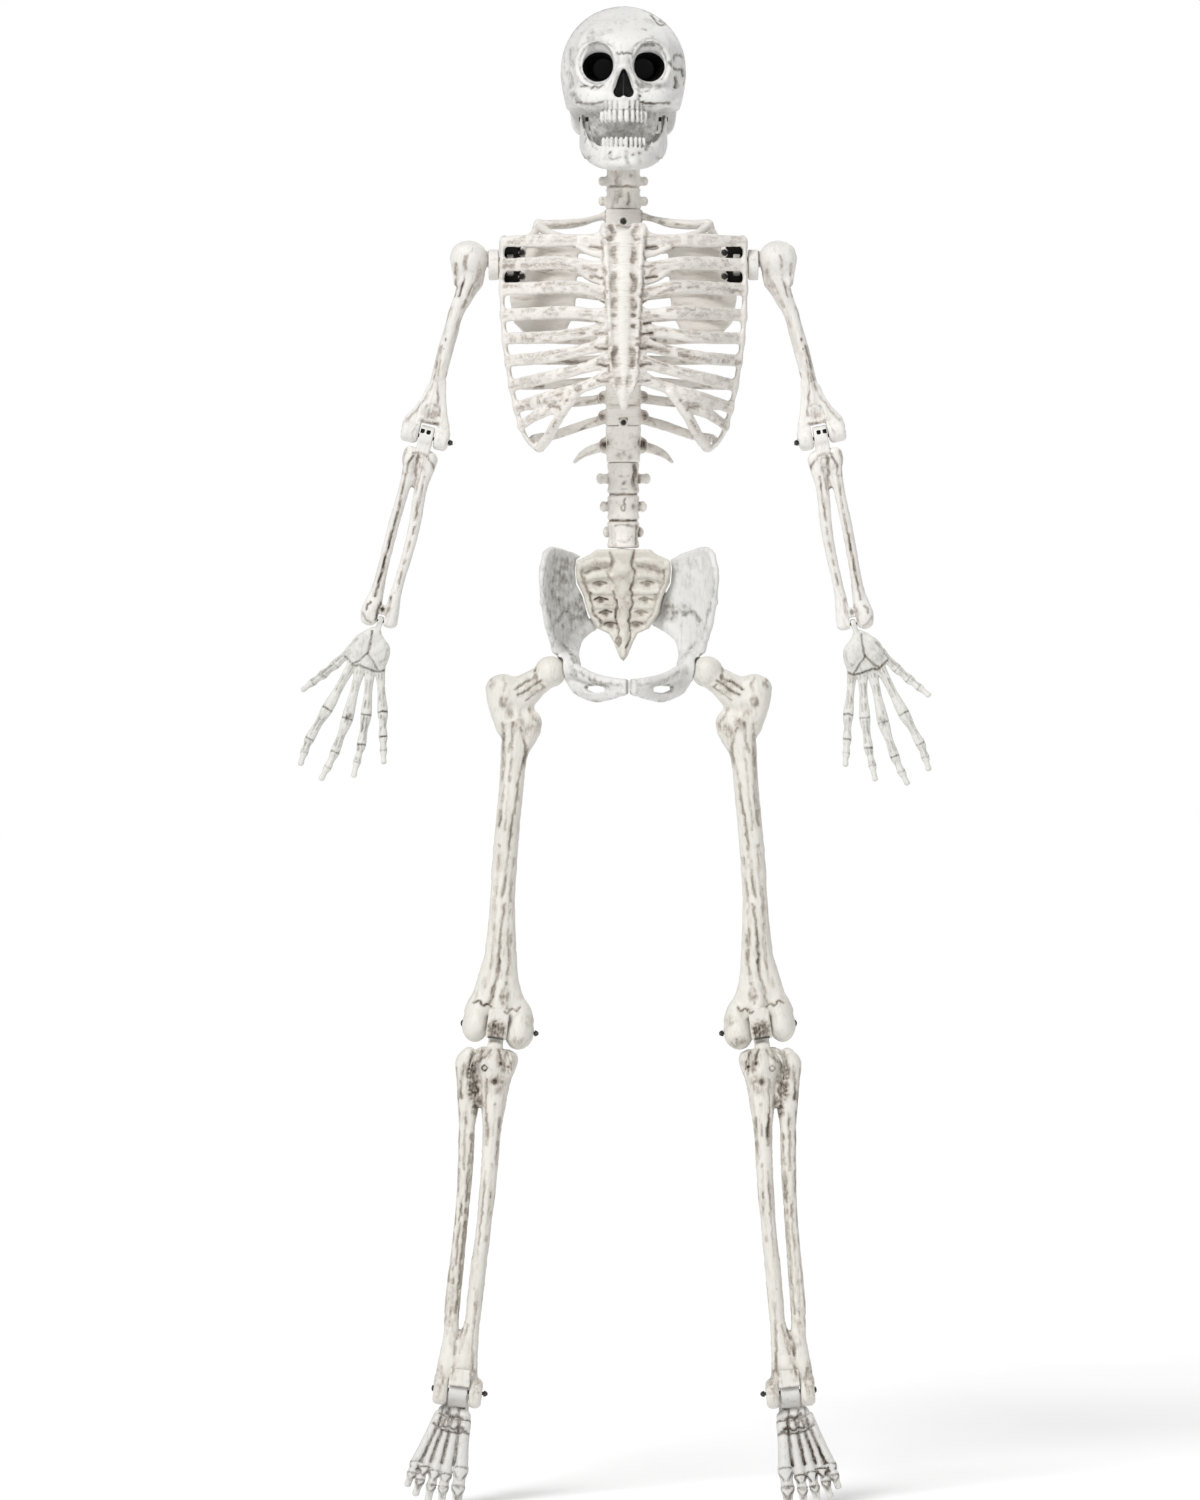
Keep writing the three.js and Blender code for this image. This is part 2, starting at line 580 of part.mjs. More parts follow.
function humerus(side) {
  const at = placer(side);
  const shaft = limb([
    at(0, 0, 0, 17), at(-4, 0, 24, 13.5), at(-1.8, 0, 55, 9.7, 10),
    at(2.7, 0, 77, 9.2, 9), at(2.9, 0, 118, 8.4, 8.4), at(3.4, 0, 148, 8.7, 8),
    at(4, 0, 175, 16, 8), at(3, 0, 190, 23, 8), at(2, 0, 197, 22, 8),
  ], { steps: 7 });
  const headBall = blob(0, 0, 0, shoulder.headRadius, shoulder.headRadius, shoulder.headRadius);
  const lobes = [[16, 10], [-15, 10]].map(([x, half]) => blob(
    side * (x + elbow.offset), 0, -arm.upper, half, elbow.lobeRadius, elbow.lobeRadius,
  ));
  const slotHalf = elbow.tongueHalf + clearance;
  const slot = block(
    side * (elbow.offset - slotHalf), side * (elbow.offset + slotHalf), -30, 30,
    -arm.upper + elbow.tongueRadius + 1.5, -arm.upper - 30,
  );
  const tongueSlot = block(
    side * -30, side * (shoulderTongue.radius + 1.2),
    -shoulderTongue.half - clearance, shoulderTongue.half + clearance,
    -shoulderTongue.radius - 1.6, 30,
  );
  const pinHole = rod([0, -17, 0], [0, 17, 0], pinRadius + gap);
  const boltHole = rod([-40, 0, -arm.upper], [40, 0, -arm.upper], pinRadius + gap);
  return cut(join(shaft, headBall, ...lobes), slot, tongueSlot, pinHole, boltHole);
}

// `lean` is the angle between the bone and its hinge, in degrees outwards.
function forearm(side, lean) {
  const at = placer(side);
  const radius = limb([
    at(11, 0, 22, 9, 9), at(10.5, 0, 46, 7.5, 7), at(9.6, 0, 80, 6, 6), at(10, 0, 97, 5.4, 6),
    at(11.7, 0, 141, 5.8, 6), at(12, 0, 180, 7.5, 7), at(12.5, 0, 203, 9, 8), at(12, 0, 213, 7, 6),
  ], { sides: 5, steps: 6 });
  const ulna = limb([
    at(-5, 0, 22, 10, 9), at(-4, 0, 46, 7.5, 7), at(-6, 0, 68, 6, 6),
    at(-10, 0, 90, 5, 5.6), at(-12.5, 0, 122, 5, 5.2), at(-10, 0, 155, 5, 5),
    at(-8, 0, 184, 6, 6), at(-10.5, 0, 203, 8, 7.6), at(-11, 0, 211, 6, 6),
  ], { sides: 5, steps: 6 });
  const top = limb([
    at(2, 0, 16.5, 17, 9), at(2.5, 0, 24, 18, 9.5), at(3, 0, 52, 11, 7),
  ], { steps: 3, cap: 0 });
  const bridge = block(side * -8, side * 10, -6, 6, -190, -212);
  const inner = side * (elbow.offset - elbow.tongueHalf);
  const outer = side * (elbow.offset + elbow.tongueHalf);
  const tongue = join(
    rod([inner, 0, 0], [outer, 0, 0], elbow.tongueRadius, 12),
    block(inner, outer, -9, 9, -4, -22),
  );
  const boltHole = rod([-40, 0, 0], [40, 0, 0], pinRadius + clearance);
  const slotHalf = wrist.tongueHalf + clearance;
  const slotTop = -wrist.pivot + wrist.tongueRadius + 1;
  const wristSlot = block(-slotHalf, slotHalf, -30, 30, slotTop, -arm.lower - 20);
  const pinHole = rod([-12, 0, -wrist.pivot], [12, 0, -wrist.pivot], wrist.pinRadius + gap);
  const hinge = cut(tongue, boltHole);
  return cut(join(radius, ulna, top, bridge, turned(hinge, side * lean)), wristSlot, pinHole);
}

const thumb = [[22, 36, 6], [37, 58, 4.2], [45, 71, 4.6], [52, 84, 3.2], [57, 95, 3]];
const fingers = [
  thumb,
  [[15, 46, 5], [19, 74, 3.4], [23, 101, 5.2], [30, 139, 4.6], [31.5, 174, 3]],
  [[4, 48, 5], [1, 76, 3.4], [0.3, 105, 5.2], [1, 146, 4.6], [3.7, 181, 3]],
  [[-8, 48, 5], [-13, 74, 3.4], [-17.6, 98, 5], [-24, 128, 4.4], [-28, 167, 3]],
  [[-18, 46, 5], [-27, 70, 3.2], [-34, 88, 4.8], [-45, 112, 4], [-54, 142, 2.8]],
];

function hand(side, lean) {
  const at = placer(side);
  const palm = limb([
    at(1, 0, 11, 8, 5), at(3, 0, 20, 17, 7), at(4, 0, 34, 23, 8), at(1, 0, 48, 18, 6),
  ], { sides: 8, steps: 3 });
  // The fingers curl forwards a little with each joint, and the thumb more.
  const rays = fingers.map((ray) => {
    const curl = ray === thumb ? -0.02 : -0.02 / 3;
    const points = ray.map(([outwards, down, half], joint) => at(outwards, curl * joint * down, down, half));
    return limb(points, { sides: 4, steps: 5, cap: 1 });
  });
  const tongue = join(
    rod([-wrist.tongueHalf, 0, 0], [wrist.tongueHalf, 0, 0], wrist.tongueRadius, 10),
    block(-wrist.tongueHalf, wrist.tongueHalf, -4.5, 4.5, -2, -16),
  );
  const hinge = cut(tongue, rod([-20, 0, 0], [20, 0, 0], wrist.pinRadius + clearance));
  return join(palm, ...rays, turned(hinge, side * lean));
}

function armGroup(name, side) {
  const group = new THREE.Group();
  group.add(part(`shoulder_stub_${name}`, shoulderStub(side), bone.arm));

  const upper = new THREE.Group();
  upper.position.set(side * shoulder.x, shoulder.y, shoulder.z);
  upper.rotation.y = -side * radians(armTilt.upper);
  upper.add(part(`humerus_${name}`, humerus(side), bone.arm));
  upper.add(part(`shoulder_pin_${name}`, rod([0, -16.5, 0], [0, 16.5, 0], pinRadius), steel));
  upper.add(part(`elbow_bolt_${name}`, bolt(side, 27.2, -24.4, -arm.upper), steel));
  upper.add(part(`elbow_wing_nut_${name}`, wingNut(side, -24.4, -arm.upper), steel));

  const lower = new THREE.Group();
  lower.position.z = -arm.upper;
  const elbowLean = armTilt.lower[name] - armTilt.upper;
  lower.rotation.y = -side * radians(elbowLean);
  lower.add(part(`forearm_${name}`, forearm(side, elbowLean), bone.arm));
  const wristPin = rod([-11.5, 0, -wrist.pivot], [11.5, 0, -wrist.pivot], wrist.pinRadius);
  lower.add(part(`wrist_pin_${name}`, wristPin, steel));

  const palm = new THREE.Group();
  palm.position.z = -wrist.pivot;
  const wristLean = armTilt.hand[name] - armTilt.lower[name];
  palm.rotation.y = -side * radians(wristLean);
  palm.add(part(`hand_${name}`, hand(side, wristLean), bone.arm));

  lower.add(palm);
  upper.add(lower);
  group.add(upper);
  return group;
}

// ---------------------------------------------------------------- legs
function femur(side) {
  const at = placer(side);
  const ball = blob(0, 0, 0, hip.ballRadius, hip.ballRadius, hip.ballRadius);
  const neckOfBone = limb([at(6, 0, 6, 11, 10), at(24, 0, 24, 9, 9), at(40, 0, 38, 15, 12)], { steps: 2 });
  const trochanter = limb([
    at(56, 0, 17, 11, 12), at(50, 0, 30, 22, 15), at(36, 0, 52, 24, 15),
    at(28, 0, 74, 20, 14), at(27, 0, 90, 16, 14),
  ], { steps: 4 });
  const lesserTrochanter = blob(side * 11, 3, -64, 11, 10, 14, 8, 5);
  const shaft = limb([
    at(30, 0, 66, 16, 14), at(27.7, -1, 90, 16, 14), at(22.5, -3, 152, 14.5, 13.5),
    at(18.8, -4, 216, 12.6, 13), at(15.7, -3, 256, 12.9, 13), at(10.4, -1, 322, 18, 13),
    at(6.4, 0, 352, 27, 13), at(3, 0, 382, 34, 13),
  ], { steps: 7 });
  const lobes = [[22.5, 18], [-21, 18]].map(([x, half]) => blob(
    side * x, 0, -leg.upper, half, knee.lobeRadius, knee.lobeRadius,
  ));
  const slotHalf = knee.tongueHalf + clearance;
  const slot = block(
    side * (knee.offset - slotHalf), side * (knee.offset + slotHalf), -40, 40,
    -leg.upper + knee.tongueRadius + 1.5, -leg.upper - 40,
  );
  const boltHole = rod([-60, 0, -leg.upper], [60, 0, -leg.upper], pinRadius + gap);
  const hipPinHole = rod([side * -30, 0, 0], [side * 4, 0, 0], pinRadius + clearance);
  const whole = join(ball, neckOfBone, trochanter, lesserTrochanter, shaft, ...lobes);
  return { whole, cuts: [slot, boltHole], hipPinHole };
}

function shin(side, lean) {
  const at = placer(side);
  const tibia = limb([
    at(0, 0, 25, 26, 16), at(-1, 0, 40, 23, 16), at(-3, 0, 70, 15, 14),
    at(-4, 0, 100, 11.6, 12), at(-4, 0, 190, 10.5, 11), at(-5.4, 0, 300, 10.5, 11),
    at(-6, 0, 350, 13, 12), at(-10, 0, 385, 17, 12), at(-14, 0, 400, 13, 12),
  ], { steps: 7 });
  const fibula = limb([
    at(26, 2, 30, 13, 11), at(27, 2, 55, 12, 10), at(24, 2, 100, 10, 8), at(23, 2, 190, 10, 8),
    at(19, 2, 300, 7.4, 7), at(14, 1, 345, 9, 9), at(16, 0, 385, 10, 11), at(18, 0, 400, 8, 11),
  ], { steps: 6 });
  const web = block(side * 4, side * 22, -5, 6, -28, -82);
  const lowerWeb = block(side * -8, side * 18, -9, 9, -342, -396);
  const malleoli = [[19.5, 8], [-19.5, 8]].map(([x, half]) => blob(
    side * x, 0, -leg.lower, half, ankle.lobeRadius - 1, ankle.lobeRadius,
  ));
  const slotHalf = ankle.tongueHalf + clearance;
  const slotTop = -leg.lower + ankle.tongueRadius + 1.5;
  const slot = block(-slotHalf, slotHalf, -40, 40, slotTop, -leg.lower - 30);
  const lobeRoom = rod([side * -60, 0, 0], [side * 60, 0, 0], knee.lobeRadius + 1.2, 14);
  const inner = side * (knee.offset - knee.tongueHalf);
  const outer = side * (knee.offset + knee.tongueHalf);
  const tongue = join(
    rod([inner, 0, 0], [outer, 0, 0], knee.tongueRadius, 12),
    block(inner, outer, -11, 11, -6, -34),
  );
  const kneeHole = rod([-40, 0, 0], [40, 0, 0], pinRadius + clearance);
  const ankleHole = rod([-40, 0, -leg.lower], [40, 0, -leg.lower], pinRadius + gap);
  const whole = join(tibia, fibula, web, lowerWeb, ...malleoli);
  const bones = cut(whole, slot, ankleHole, turned(lobeRoom, side * lean));
  return join(bones, turned(cut(tongue, kneeHole), side * lean));
}

// The foot in its own frame: toes towards -Y, sole down, ankle pivot at the origin.
// Each ray runs [outwards, forwards, half width] from the instep to the toe tip.
const toes = [
  [[-10, 26, 8], [-13, 52, 6], [-12, 77, 7.5], [-11, 95, 6.5], [-13, 112, 6]],
  [[-1, 27, 7], [2, 54, 4.8], [5, 84, 5.4], [5.5, 98, 4.2], [5, 113, 4]],
  [[8, 27, 7], [13, 54, 4.6], [19, 82, 5.2], [21, 97, 4], [22, 112, 3.8]],
  [[14, 25, 6.5], [24, 52, 4.4], [31, 78, 5], [35, 93, 3.8], [38, 106, 3.6]],
  [[18, 21, 6], [33, 48, 4.4], [41, 72, 5], [44, 84, 3.6], [46, 97, 3.4]],
];

function foot(side) {
  const rays = toes.map((ray) => limb(ray.map(([outwards, forwards, half]) => (
    [side * outwards, -forwards, -16 - 0.28 * forwards, half, half * 0.9]
  )), { sides: 4, steps: 4, hint: Z_AXIS, cap: 0.8 }));
  const tarsus = limb([
    [0, 34, -36, 9, 10], [0, 12, -30, 14, 11], [side * 2, -12, -26, 17, 10], [side * 5, -32, -26, 19, 7],
  ], { steps: 3, hint: Z_AXIS });
  const heel = blob(0, 38, -40, 11, 14, 14, 8, 5);
  const tongueHalf = ankle.tongueHalf;
  const tongue = join(
    rod([-tongueHalf, 0, 0], [tongueHalf, 0, 0], ankle.tongueRadius, 12),
    block(-tongueHalf, tongueHalf, -12, 10, -4, -26),
  );
  const lobeRoom = [1, -1].map(
    (way) => rod([way * (tongueHalf + 0.1), 0, 0], [way * 60, 0, 0], ankle.lobeRadius + 1, 14),
  );
  const boltHole = rod([-40, 0, 0], [40, 0, 0], pinRadius + clearance);
  return cut(join(cut(join(tarsus, heel, ...rays), ...lobeRoom), tongue), boltHole);
}

function legGroup(name, side) {
  const upper = new THREE.Group();
  upper.position.set(hip.shift + side * hip.x, hip.y, hip.z);
  upper.rotation.y = -side * radians(legTilt.upper);
  const { whole, cuts, hipPinHole } = femur(side);
  // The hip pin lies level, so its hole is turned back by the thigh's tilt.
  const levelHole = turned(hipPinHole, side * legTilt.upper);
  upper.add(part(`femur_${name}`, cut(whole, ...cuts, levelHole), bone.leg));
  upper.add(part(`knee_bolt_${name}`, bolt(side, 40.8, -39.4, -leg.upper), steel));
  upper.add(part(`knee_wing_nut_${name}`, wingNut(side, -39.4, -leg.upper), steel));

  const lower = new THREE.Group();
  lower.position.z = -leg.upper;
  const kneeLean = legTilt.lower[name] - legTilt.upper;
  lower.rotation.y = -side * radians(kneeLean);
  lower.add(part(`shin_${name}`, shin(side, kneeLean), bone.leg));
  lower.add(part(`ankle_bolt_${name}`, bolt(side, 27.8, -27.8, -leg.lower), steel));
  lower.add(part(`ankle_wing_nut_${name}`, wingNut(side, -27.8, -leg.lower), steel));

  const sole = new THREE.Group();
  sole.position.z = -leg.lower;
  sole.rotation.x = radians(footDrop);
  sole.add(part(`foot_${name}`, foot(side), bone.leg));

  lower.add(sole);
  upper.add(lower);
  return upper;
}

// ---------------------------------------------------------------- the figure
const figure = new THREE.Group();
figure.add(head(), torso(), pelvis());
[['left', 1], ['right', -1]].forEach(([name, side]) => {
  figure.add(armGroup(name, side), legGroup(name, side));
});

export default figure;
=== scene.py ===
"""A life-size posable plastic skeleton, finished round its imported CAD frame.

Each bone is modelled in clay: shapes are joined and cut as distances on a grid of points, the
surface is taken off as a mesh, and grooves, pits and antique wash are worked into it.
Modelling is in millimetres; placing turns it into the frame's metres.
"""
import json
import math
from functools import reduce
from itertools import product

import bpy
import numpy as np
import openvdb as vdb
from mathutils import Matrix, Vector


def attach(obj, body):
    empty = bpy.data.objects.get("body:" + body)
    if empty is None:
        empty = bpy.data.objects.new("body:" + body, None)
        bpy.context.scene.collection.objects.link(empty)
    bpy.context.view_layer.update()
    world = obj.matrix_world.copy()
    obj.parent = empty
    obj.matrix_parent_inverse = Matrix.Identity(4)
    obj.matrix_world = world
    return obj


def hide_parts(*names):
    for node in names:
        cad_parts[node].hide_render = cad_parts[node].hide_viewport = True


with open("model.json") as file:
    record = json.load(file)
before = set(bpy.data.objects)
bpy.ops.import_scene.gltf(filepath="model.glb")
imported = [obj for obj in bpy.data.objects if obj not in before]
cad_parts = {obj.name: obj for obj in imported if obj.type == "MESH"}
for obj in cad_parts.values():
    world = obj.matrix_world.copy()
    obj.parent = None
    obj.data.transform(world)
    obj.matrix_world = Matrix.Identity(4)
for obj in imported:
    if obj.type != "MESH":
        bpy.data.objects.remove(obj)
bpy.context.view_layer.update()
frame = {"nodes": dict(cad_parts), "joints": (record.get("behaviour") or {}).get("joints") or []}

MM = 0.001
FAR = 40.0      # a distance well outside every surface, in millimetres
SIDES = {"left": 1, "right": -1}
JOINT = {joint["name"]: Vector(joint["pos_m"]) for joint in frame["joints"]}

# ---------------------------------------------------------------- smooth curves and noise


def spline(points, steps=6):
    """Points on a smooth curve through the given ones, `steps` of them to each stretch."""
    p = np.array(points, float)
    if len(p) == 1:
        return np.vstack([p, p])
    p = np.vstack([2 * p[0] - p[1], p, 2 * p[-1] - p[-2]])
    t = (np.arange(steps) / steps)[:, None]
    curve = []
    for before, a, b, after in zip(p[:-3], p[1:-2], p[2:-1], p[3:]):
        curve.append(a + 0.5 * t * (b - before + t * (
            2 * before - 5 * a + 4 * b - after + t * (3 * (a - b) + after - before))))
    return np.vstack([*curve, p[-2:-1]])


def smoothstep(low, high, value):
    t = np.clip((value - low) / (high - low), 0.0, 1.0)
    return t * t * (3.0 - 2.0 * t)


def corner_shares(f):
    """The eight corners of a grid cell, each with its share at the places `f` in the cell."""
    for corner in product((0, 1), repeat=3):
        yield corner, np.prod([f[:, i] if corner[i] else 1.0 - f[:, i] for i in range(3)], axis=0)


# Large primes that scatter a cell's three counts and the seed, and then mix the bits of the sum.
HASH_PRIMES, SEED_PRIME, MIXING_PRIME = (73856093, 19349663, 83492791), 7919, 1274126177
SEED_SHIFT = 17.3


def noise(points, size, seed=0):
    """Smooth repeatable noise from -1 to 1; `size` is the width of a lump, or one for each axis."""
    at = np.asarray(points) / np.asarray(size, float) + SEED_SHIFT * (seed + 1)
    cell = np.floor(at).astype(np.int64)
    f = at - cell
    f = f * f * (3.0 - 2.0 * f)
    total = np.zeros(len(at))
    for corner, share in corner_shares(f):
        h = sum((cell[:, i] + corner[i]) * HASH_PRIMES[i] for i in range(3)) + seed * SEED_PRIME
        h = (h ^ (h >> 13)) * MIXING_PRIME
        value = ((h ^ (h >> 16)) & 0xFFFF) / 32767.5 - 1.0
        total += share * value
    return total


# ---------------------------------------------------------------- clay: shapes as distances
# A shape is (lowest corner, highest corner, measure), and measure(x, y, z) gives the distance
# to its surface, below nought inside.


TINY = 1e-9


def unit(v):
    return v / (np.linalg.norm(v) + TINY)


def eased(distances, rounding):
    """The distance to a shape with rounded edges, from the distances to its flat or round sides."""
    outside = np.sqrt(sum(np.maximum(d, 0.0) ** 2 for d in distances))
    return outside + np.minimum(reduce(np.maximum, distances), 0.0) - rounding


def by_height(levels, z):
    """A value that is known at some heights, at the height z."""
    heights = sorted(levels)
    return np.interp(z, heights, [levels[height] for height in heights])


def near(axis, low, high):
    flat = axis.ravel()
    return slice(int(np.searchsorted(flat, low)), int(np.searchsorted(flat, high)))


def ball(centre, radii):
    c = np.array(centre, float)
    r = np.array(radii if np.ndim(radii) else (radii,) * 3, float)

    def measure(x, y, z):
        k = [(axis - c[i]) / r[i] for i, axis in enumerate((x, y, z))]
        return (np.sqrt(k[0] ** 2 + k[1] ** 2 + k[2] ** 2) - 1.0) * r.min()

    return c - r, c + r, measure


def brick(low, high, rounding=1.0):
    low, high = np.minimum(low, high).astype(float), np.maximum(low, high).astype(float)
    c, half = (low + high) / 2, (high - low) / 2 - rounding

    def measure(x, y, z):
        return eased([np.abs(axis - c[i]) - half[i] for i, axis in enumerate((x, y, z))], rounding)

    return low, high, measure


def drum(start, end, radius, rounding=1.0):
    """A round bar with eased edges."""
    a, b = np.array(start, float), np.array(end, float)
    along, half, c = unit(b - a), np.linalg.norm(b - a) / 2 - rounding, (a + b) / 2

    def measure(x, y, z):
        dx, dy, dz = x - c[0], y - c[1], z - c[2]
        t = dx * along[0] + dy * along[1] + dz * along[2]
        away = np.sqrt(np.maximum(dx * dx + dy * dy + dz * dz - t * t, 0.0))
        return eased((away - (radius - rounding), np.abs(t) - half), rounding)

    return np.minimum(a, b) - radius, np.maximum(a, b) + radius, measure


def bar(points, hint=(0, 0, 1), steps=5):
    """A smooth tapering bar. Each point is (x, y, z, half width, half depth); the width lies
    square to the path and to `hint`."""
    path = spline([(*p[:4], p[4] if len(p) > 4 else p[3]) for p in points], steps)
    path[:, 3:] = np.maximum(path[:, 3:], 0.4)
    reach = path[:, 3:].max()

    def measure(x, y, z):
        out = np.full(np.broadcast_shapes(x.shape, y.shape, z.shape), FAR, np.float32)
        for a, b in zip(path[:-1], path[1:]):
            pad = max(a[3:].max(), b[3:].max()) + 9.0
            cuts = tuple(
                near(axis, min(a[i], b[i]) - pad, max(a[i], b[i]) + pad)
                for i, axis in enumerate((x, y, z))
            )
            if min(s.stop - s.start for s in cuts) <= 0:
                continue
            d = [x[cuts[0]] - a[0], y[:, cuts[1]] - a[1], z[:, :, cuts[2]] - a[2]]
            step = b[:3] - a[:3]
            t = np.clip(sum(d[i] * step[i] for i in range(3)) / (step @ step), 0.0, 1.0)
            d = [d[i] - t * step[i] for i in range(3)]
            across = unit(np.cross(hint, step))
            deep, ahead = unit(np.cross(step, across)), unit(step)
            wide, high = a[3] + t * (b[3] - a[3]), a[4] + t * (b[4] - a[4])
            small = np.minimum(wide, high)
            u, v, w = (sum(d[i] * n[i] for i in range(3)) for n in (across, deep, ahead))
            far = (np.sqrt((u / wide) ** 2 + (v / high) ** 2 + (w / small) ** 2) - 1.0) * small
            out[cuts] = np.minimum(out[cuts], far)
        return out

    return path[:, :3].min(0) - reach, path[:, :3].max(0) + reach, measure


def beam(points, **how):
    """A bar whose width is seen from the front and whose depth runs from front to back."""
    return bar(points, hint=(0, 1, 0), **how)


def stack(stations, axis=2, power=2.0):
    """A lofted body: (place along the axis, two centres across it, two half widths) each."""
    path = spline(sorted(stations), 8)
    path[:, 3:] = np.maximum(path[:, 3:], 0.3)
    others = [i for i in range(3) if i != axis]
    low, high = np.zeros(3), np.zeros(3)
    low[axis], high[axis] = path[0, 0], path[-1, 0]
    for n, i in enumerate(others):
        low[i] = (path[:, 1 + n] - path[:, 3 + n]).min()
        high[i] = (path[:, 1 + n] + path[:, 3 + n]).max()

    def measure(*xyz):
        along = xyz[axis]
        cu, cv, a, b = (np.interp(along, path[:, 0], path[:, i]) for i in range(1, 5))
        u, v = (np.abs(xyz[others[0]] - cu) / a, np.abs(xyz[others[1]] - cv) / b)
        side = ((u ** power + v ** power) ** (1.0 / power) - 1.0) * np.minimum(a, b)
        return np.maximum(side, np.abs(along - (low[axis] + high[axis]) / 2)
                          - (high[axis] - low[axis]) / 2)

    return low, high, measure


class Clay:
    """A lump that shapes are joined to and cut from."""

    def __init__(self, low, high, pitch):
        self.pitch = pitch
        self.low = np.array(low, float) - 4 * pitch
        counts = np.ceil((np.array(high) + 4 * pitch - self.low) / pitch).astype(int)
        axes = [self.low[i] + pitch * np.arange(counts[i]) for i in range(3)]
        self.axes = np.ix_(*(a.astype(np.float32) for a in axes))
        self.depth = np.full(counts, FAR, np.float32)

    def _blend(self, shape, blend, cutting):
        low, high, measure = shape
        pad = 5 * self.pitch + 2 * blend
        cuts = tuple(near(self.axes[i], low[i] - pad, high[i] + pad) for i in range(3))
        if min(s.stop - s.start for s in cuts) <= 0:
            return
        x, y, z = self.axes
        tool = measure(x[cuts[0]], y[:, cuts[1]], z[:, :, cuts[2]])
        sign = -1.0 if cutting else 1.0
        old = sign * self.depth[cuts]
        mixed = np.minimum(old, tool)
        if blend > 0:
            mixed = mixed - np.maximum(blend - np.abs(old - tool), 0.0) ** 2 / (4 * blend)
        self.depth[cuts] = sign * mixed

    def add(self, *shapes, blend=2.0):
        for shape in shapes:
            self._blend(shape, blend, cutting=False)
        return self

    def cut(self, *shapes, blend=0.6):
        for shape in shapes:
            self._blend(shape, blend, cutting=True)
        return self

    def keep(self, axis, low, high):
        """Only what lies between two planes stays."""
        along = self.axes[axis]
        self.depth = np.maximum(self.depth, np.maximum(low - along, along - high))
        return self


def on(side, points):
    """Points of the left side, or the same ones on the right where `side` is -1."""
    return [(side * x, *rest) for x, *rest in points]


def mirrored(points):
    return on(-1, points)


SPINE_DEPTH = -26


def spine_drum(start, end, radius, rounding):
    """A round bar along the axis of the spine, between two heights."""
    return drum((0, SPINE_DEPTH, start), (0, SPINE_DEPTH, end), radius, rounding)


def spine_rings(rings):
    """A round column on the axis of the spine: (height, radius) each."""
    return stack([(z, 0, SPINE_DEPTH, r, r) for z, r in rings])


# ---------------------------------------------------------------- from clay to a painted cast


def blurred(grid, reach):
    for axis in range(3):
        pads = [(reach + 1, reach) if i == axis else (0, 0) for i in range(3)]
        padded = np.pad(grid, pads, mode="edge")
        total = np.moveaxis(np.cumsum(padded, axis=axis, dtype=float), axis, 0)
        window = 2 * reach + 1
        grid = np.moveaxis((total[window:] - total[:-window]) / window, 0, axis)
    return grid


def sample(grid, at):
    base = np.clip(np.floor(at).astype(int), 0, np.array(grid.shape) - 2)
    f = np.clip(at - base, 0.0, 1.0)
    return sum(share * grid[tuple((base + corner).T)] for corner, share in corner_shares(f))


# For each face of a bone: the two axes it is drawn in, the axis it looks along, and which way.
FACES = {
    "front": (0, 2, 1, -1), "back": (0, 2, 1, 1),
    "outer": (1, 2, 0, 1), "inner": (1, 2, 0, -1),
    "top": (0, 1, 2, 1), "under": (0, 1, 2, -1),
}


def distance_to_line(points, line):
    """How far points in a plane lie from a run of straight stretches."""
    best = np.full(len(points), 1e9)
    for a, b in zip(line[:-1], line[1:]):
        step = b - a
        t = np.clip(((points - a) @ step) / max(step @ step, 1e-9), 0.0, 1.0)
        best = np.minimum(best, np.hypot(*(points - a - t[:, None] * step).T))
    return best


def stroke(points, width=1.8, depth=0.8, wash=0.9, face="front", broken=0.0, wobble=0.7, seed=1):
    """A groove drawn on one face of a bone; `broken` from 0 to 1 leaves gaps in it."""
    return {"line": spline(points, 4), "width": width, "depth": depth, "wash": wash,
            "face": face, "broken": broken, "wobble": wobble, "seed": seed}


def drawn(style, *rows, **how):
    """Grooves of one style: (points, wash) each."""
    return [stroke(points, wash=wash, **style, **how) for points, wash in rows]


def ring(u, v, ru, rv, **how):
    turns = np.linspace(0.0, 2 * math.pi, 9)
    return stroke([(u + ru * math.cos(t), v + rv * math.sin(t)) for t in turns], **how)


def pit(u, v, width=2.6, **how):
    return stroke([(u, v)], width=width, **how)


# How far round a place the clay is looked at, and how deep, to see whether the place is hollow.
HOLLOW_REACH, HOLLOW_DEPTH = 3.0, 4.0


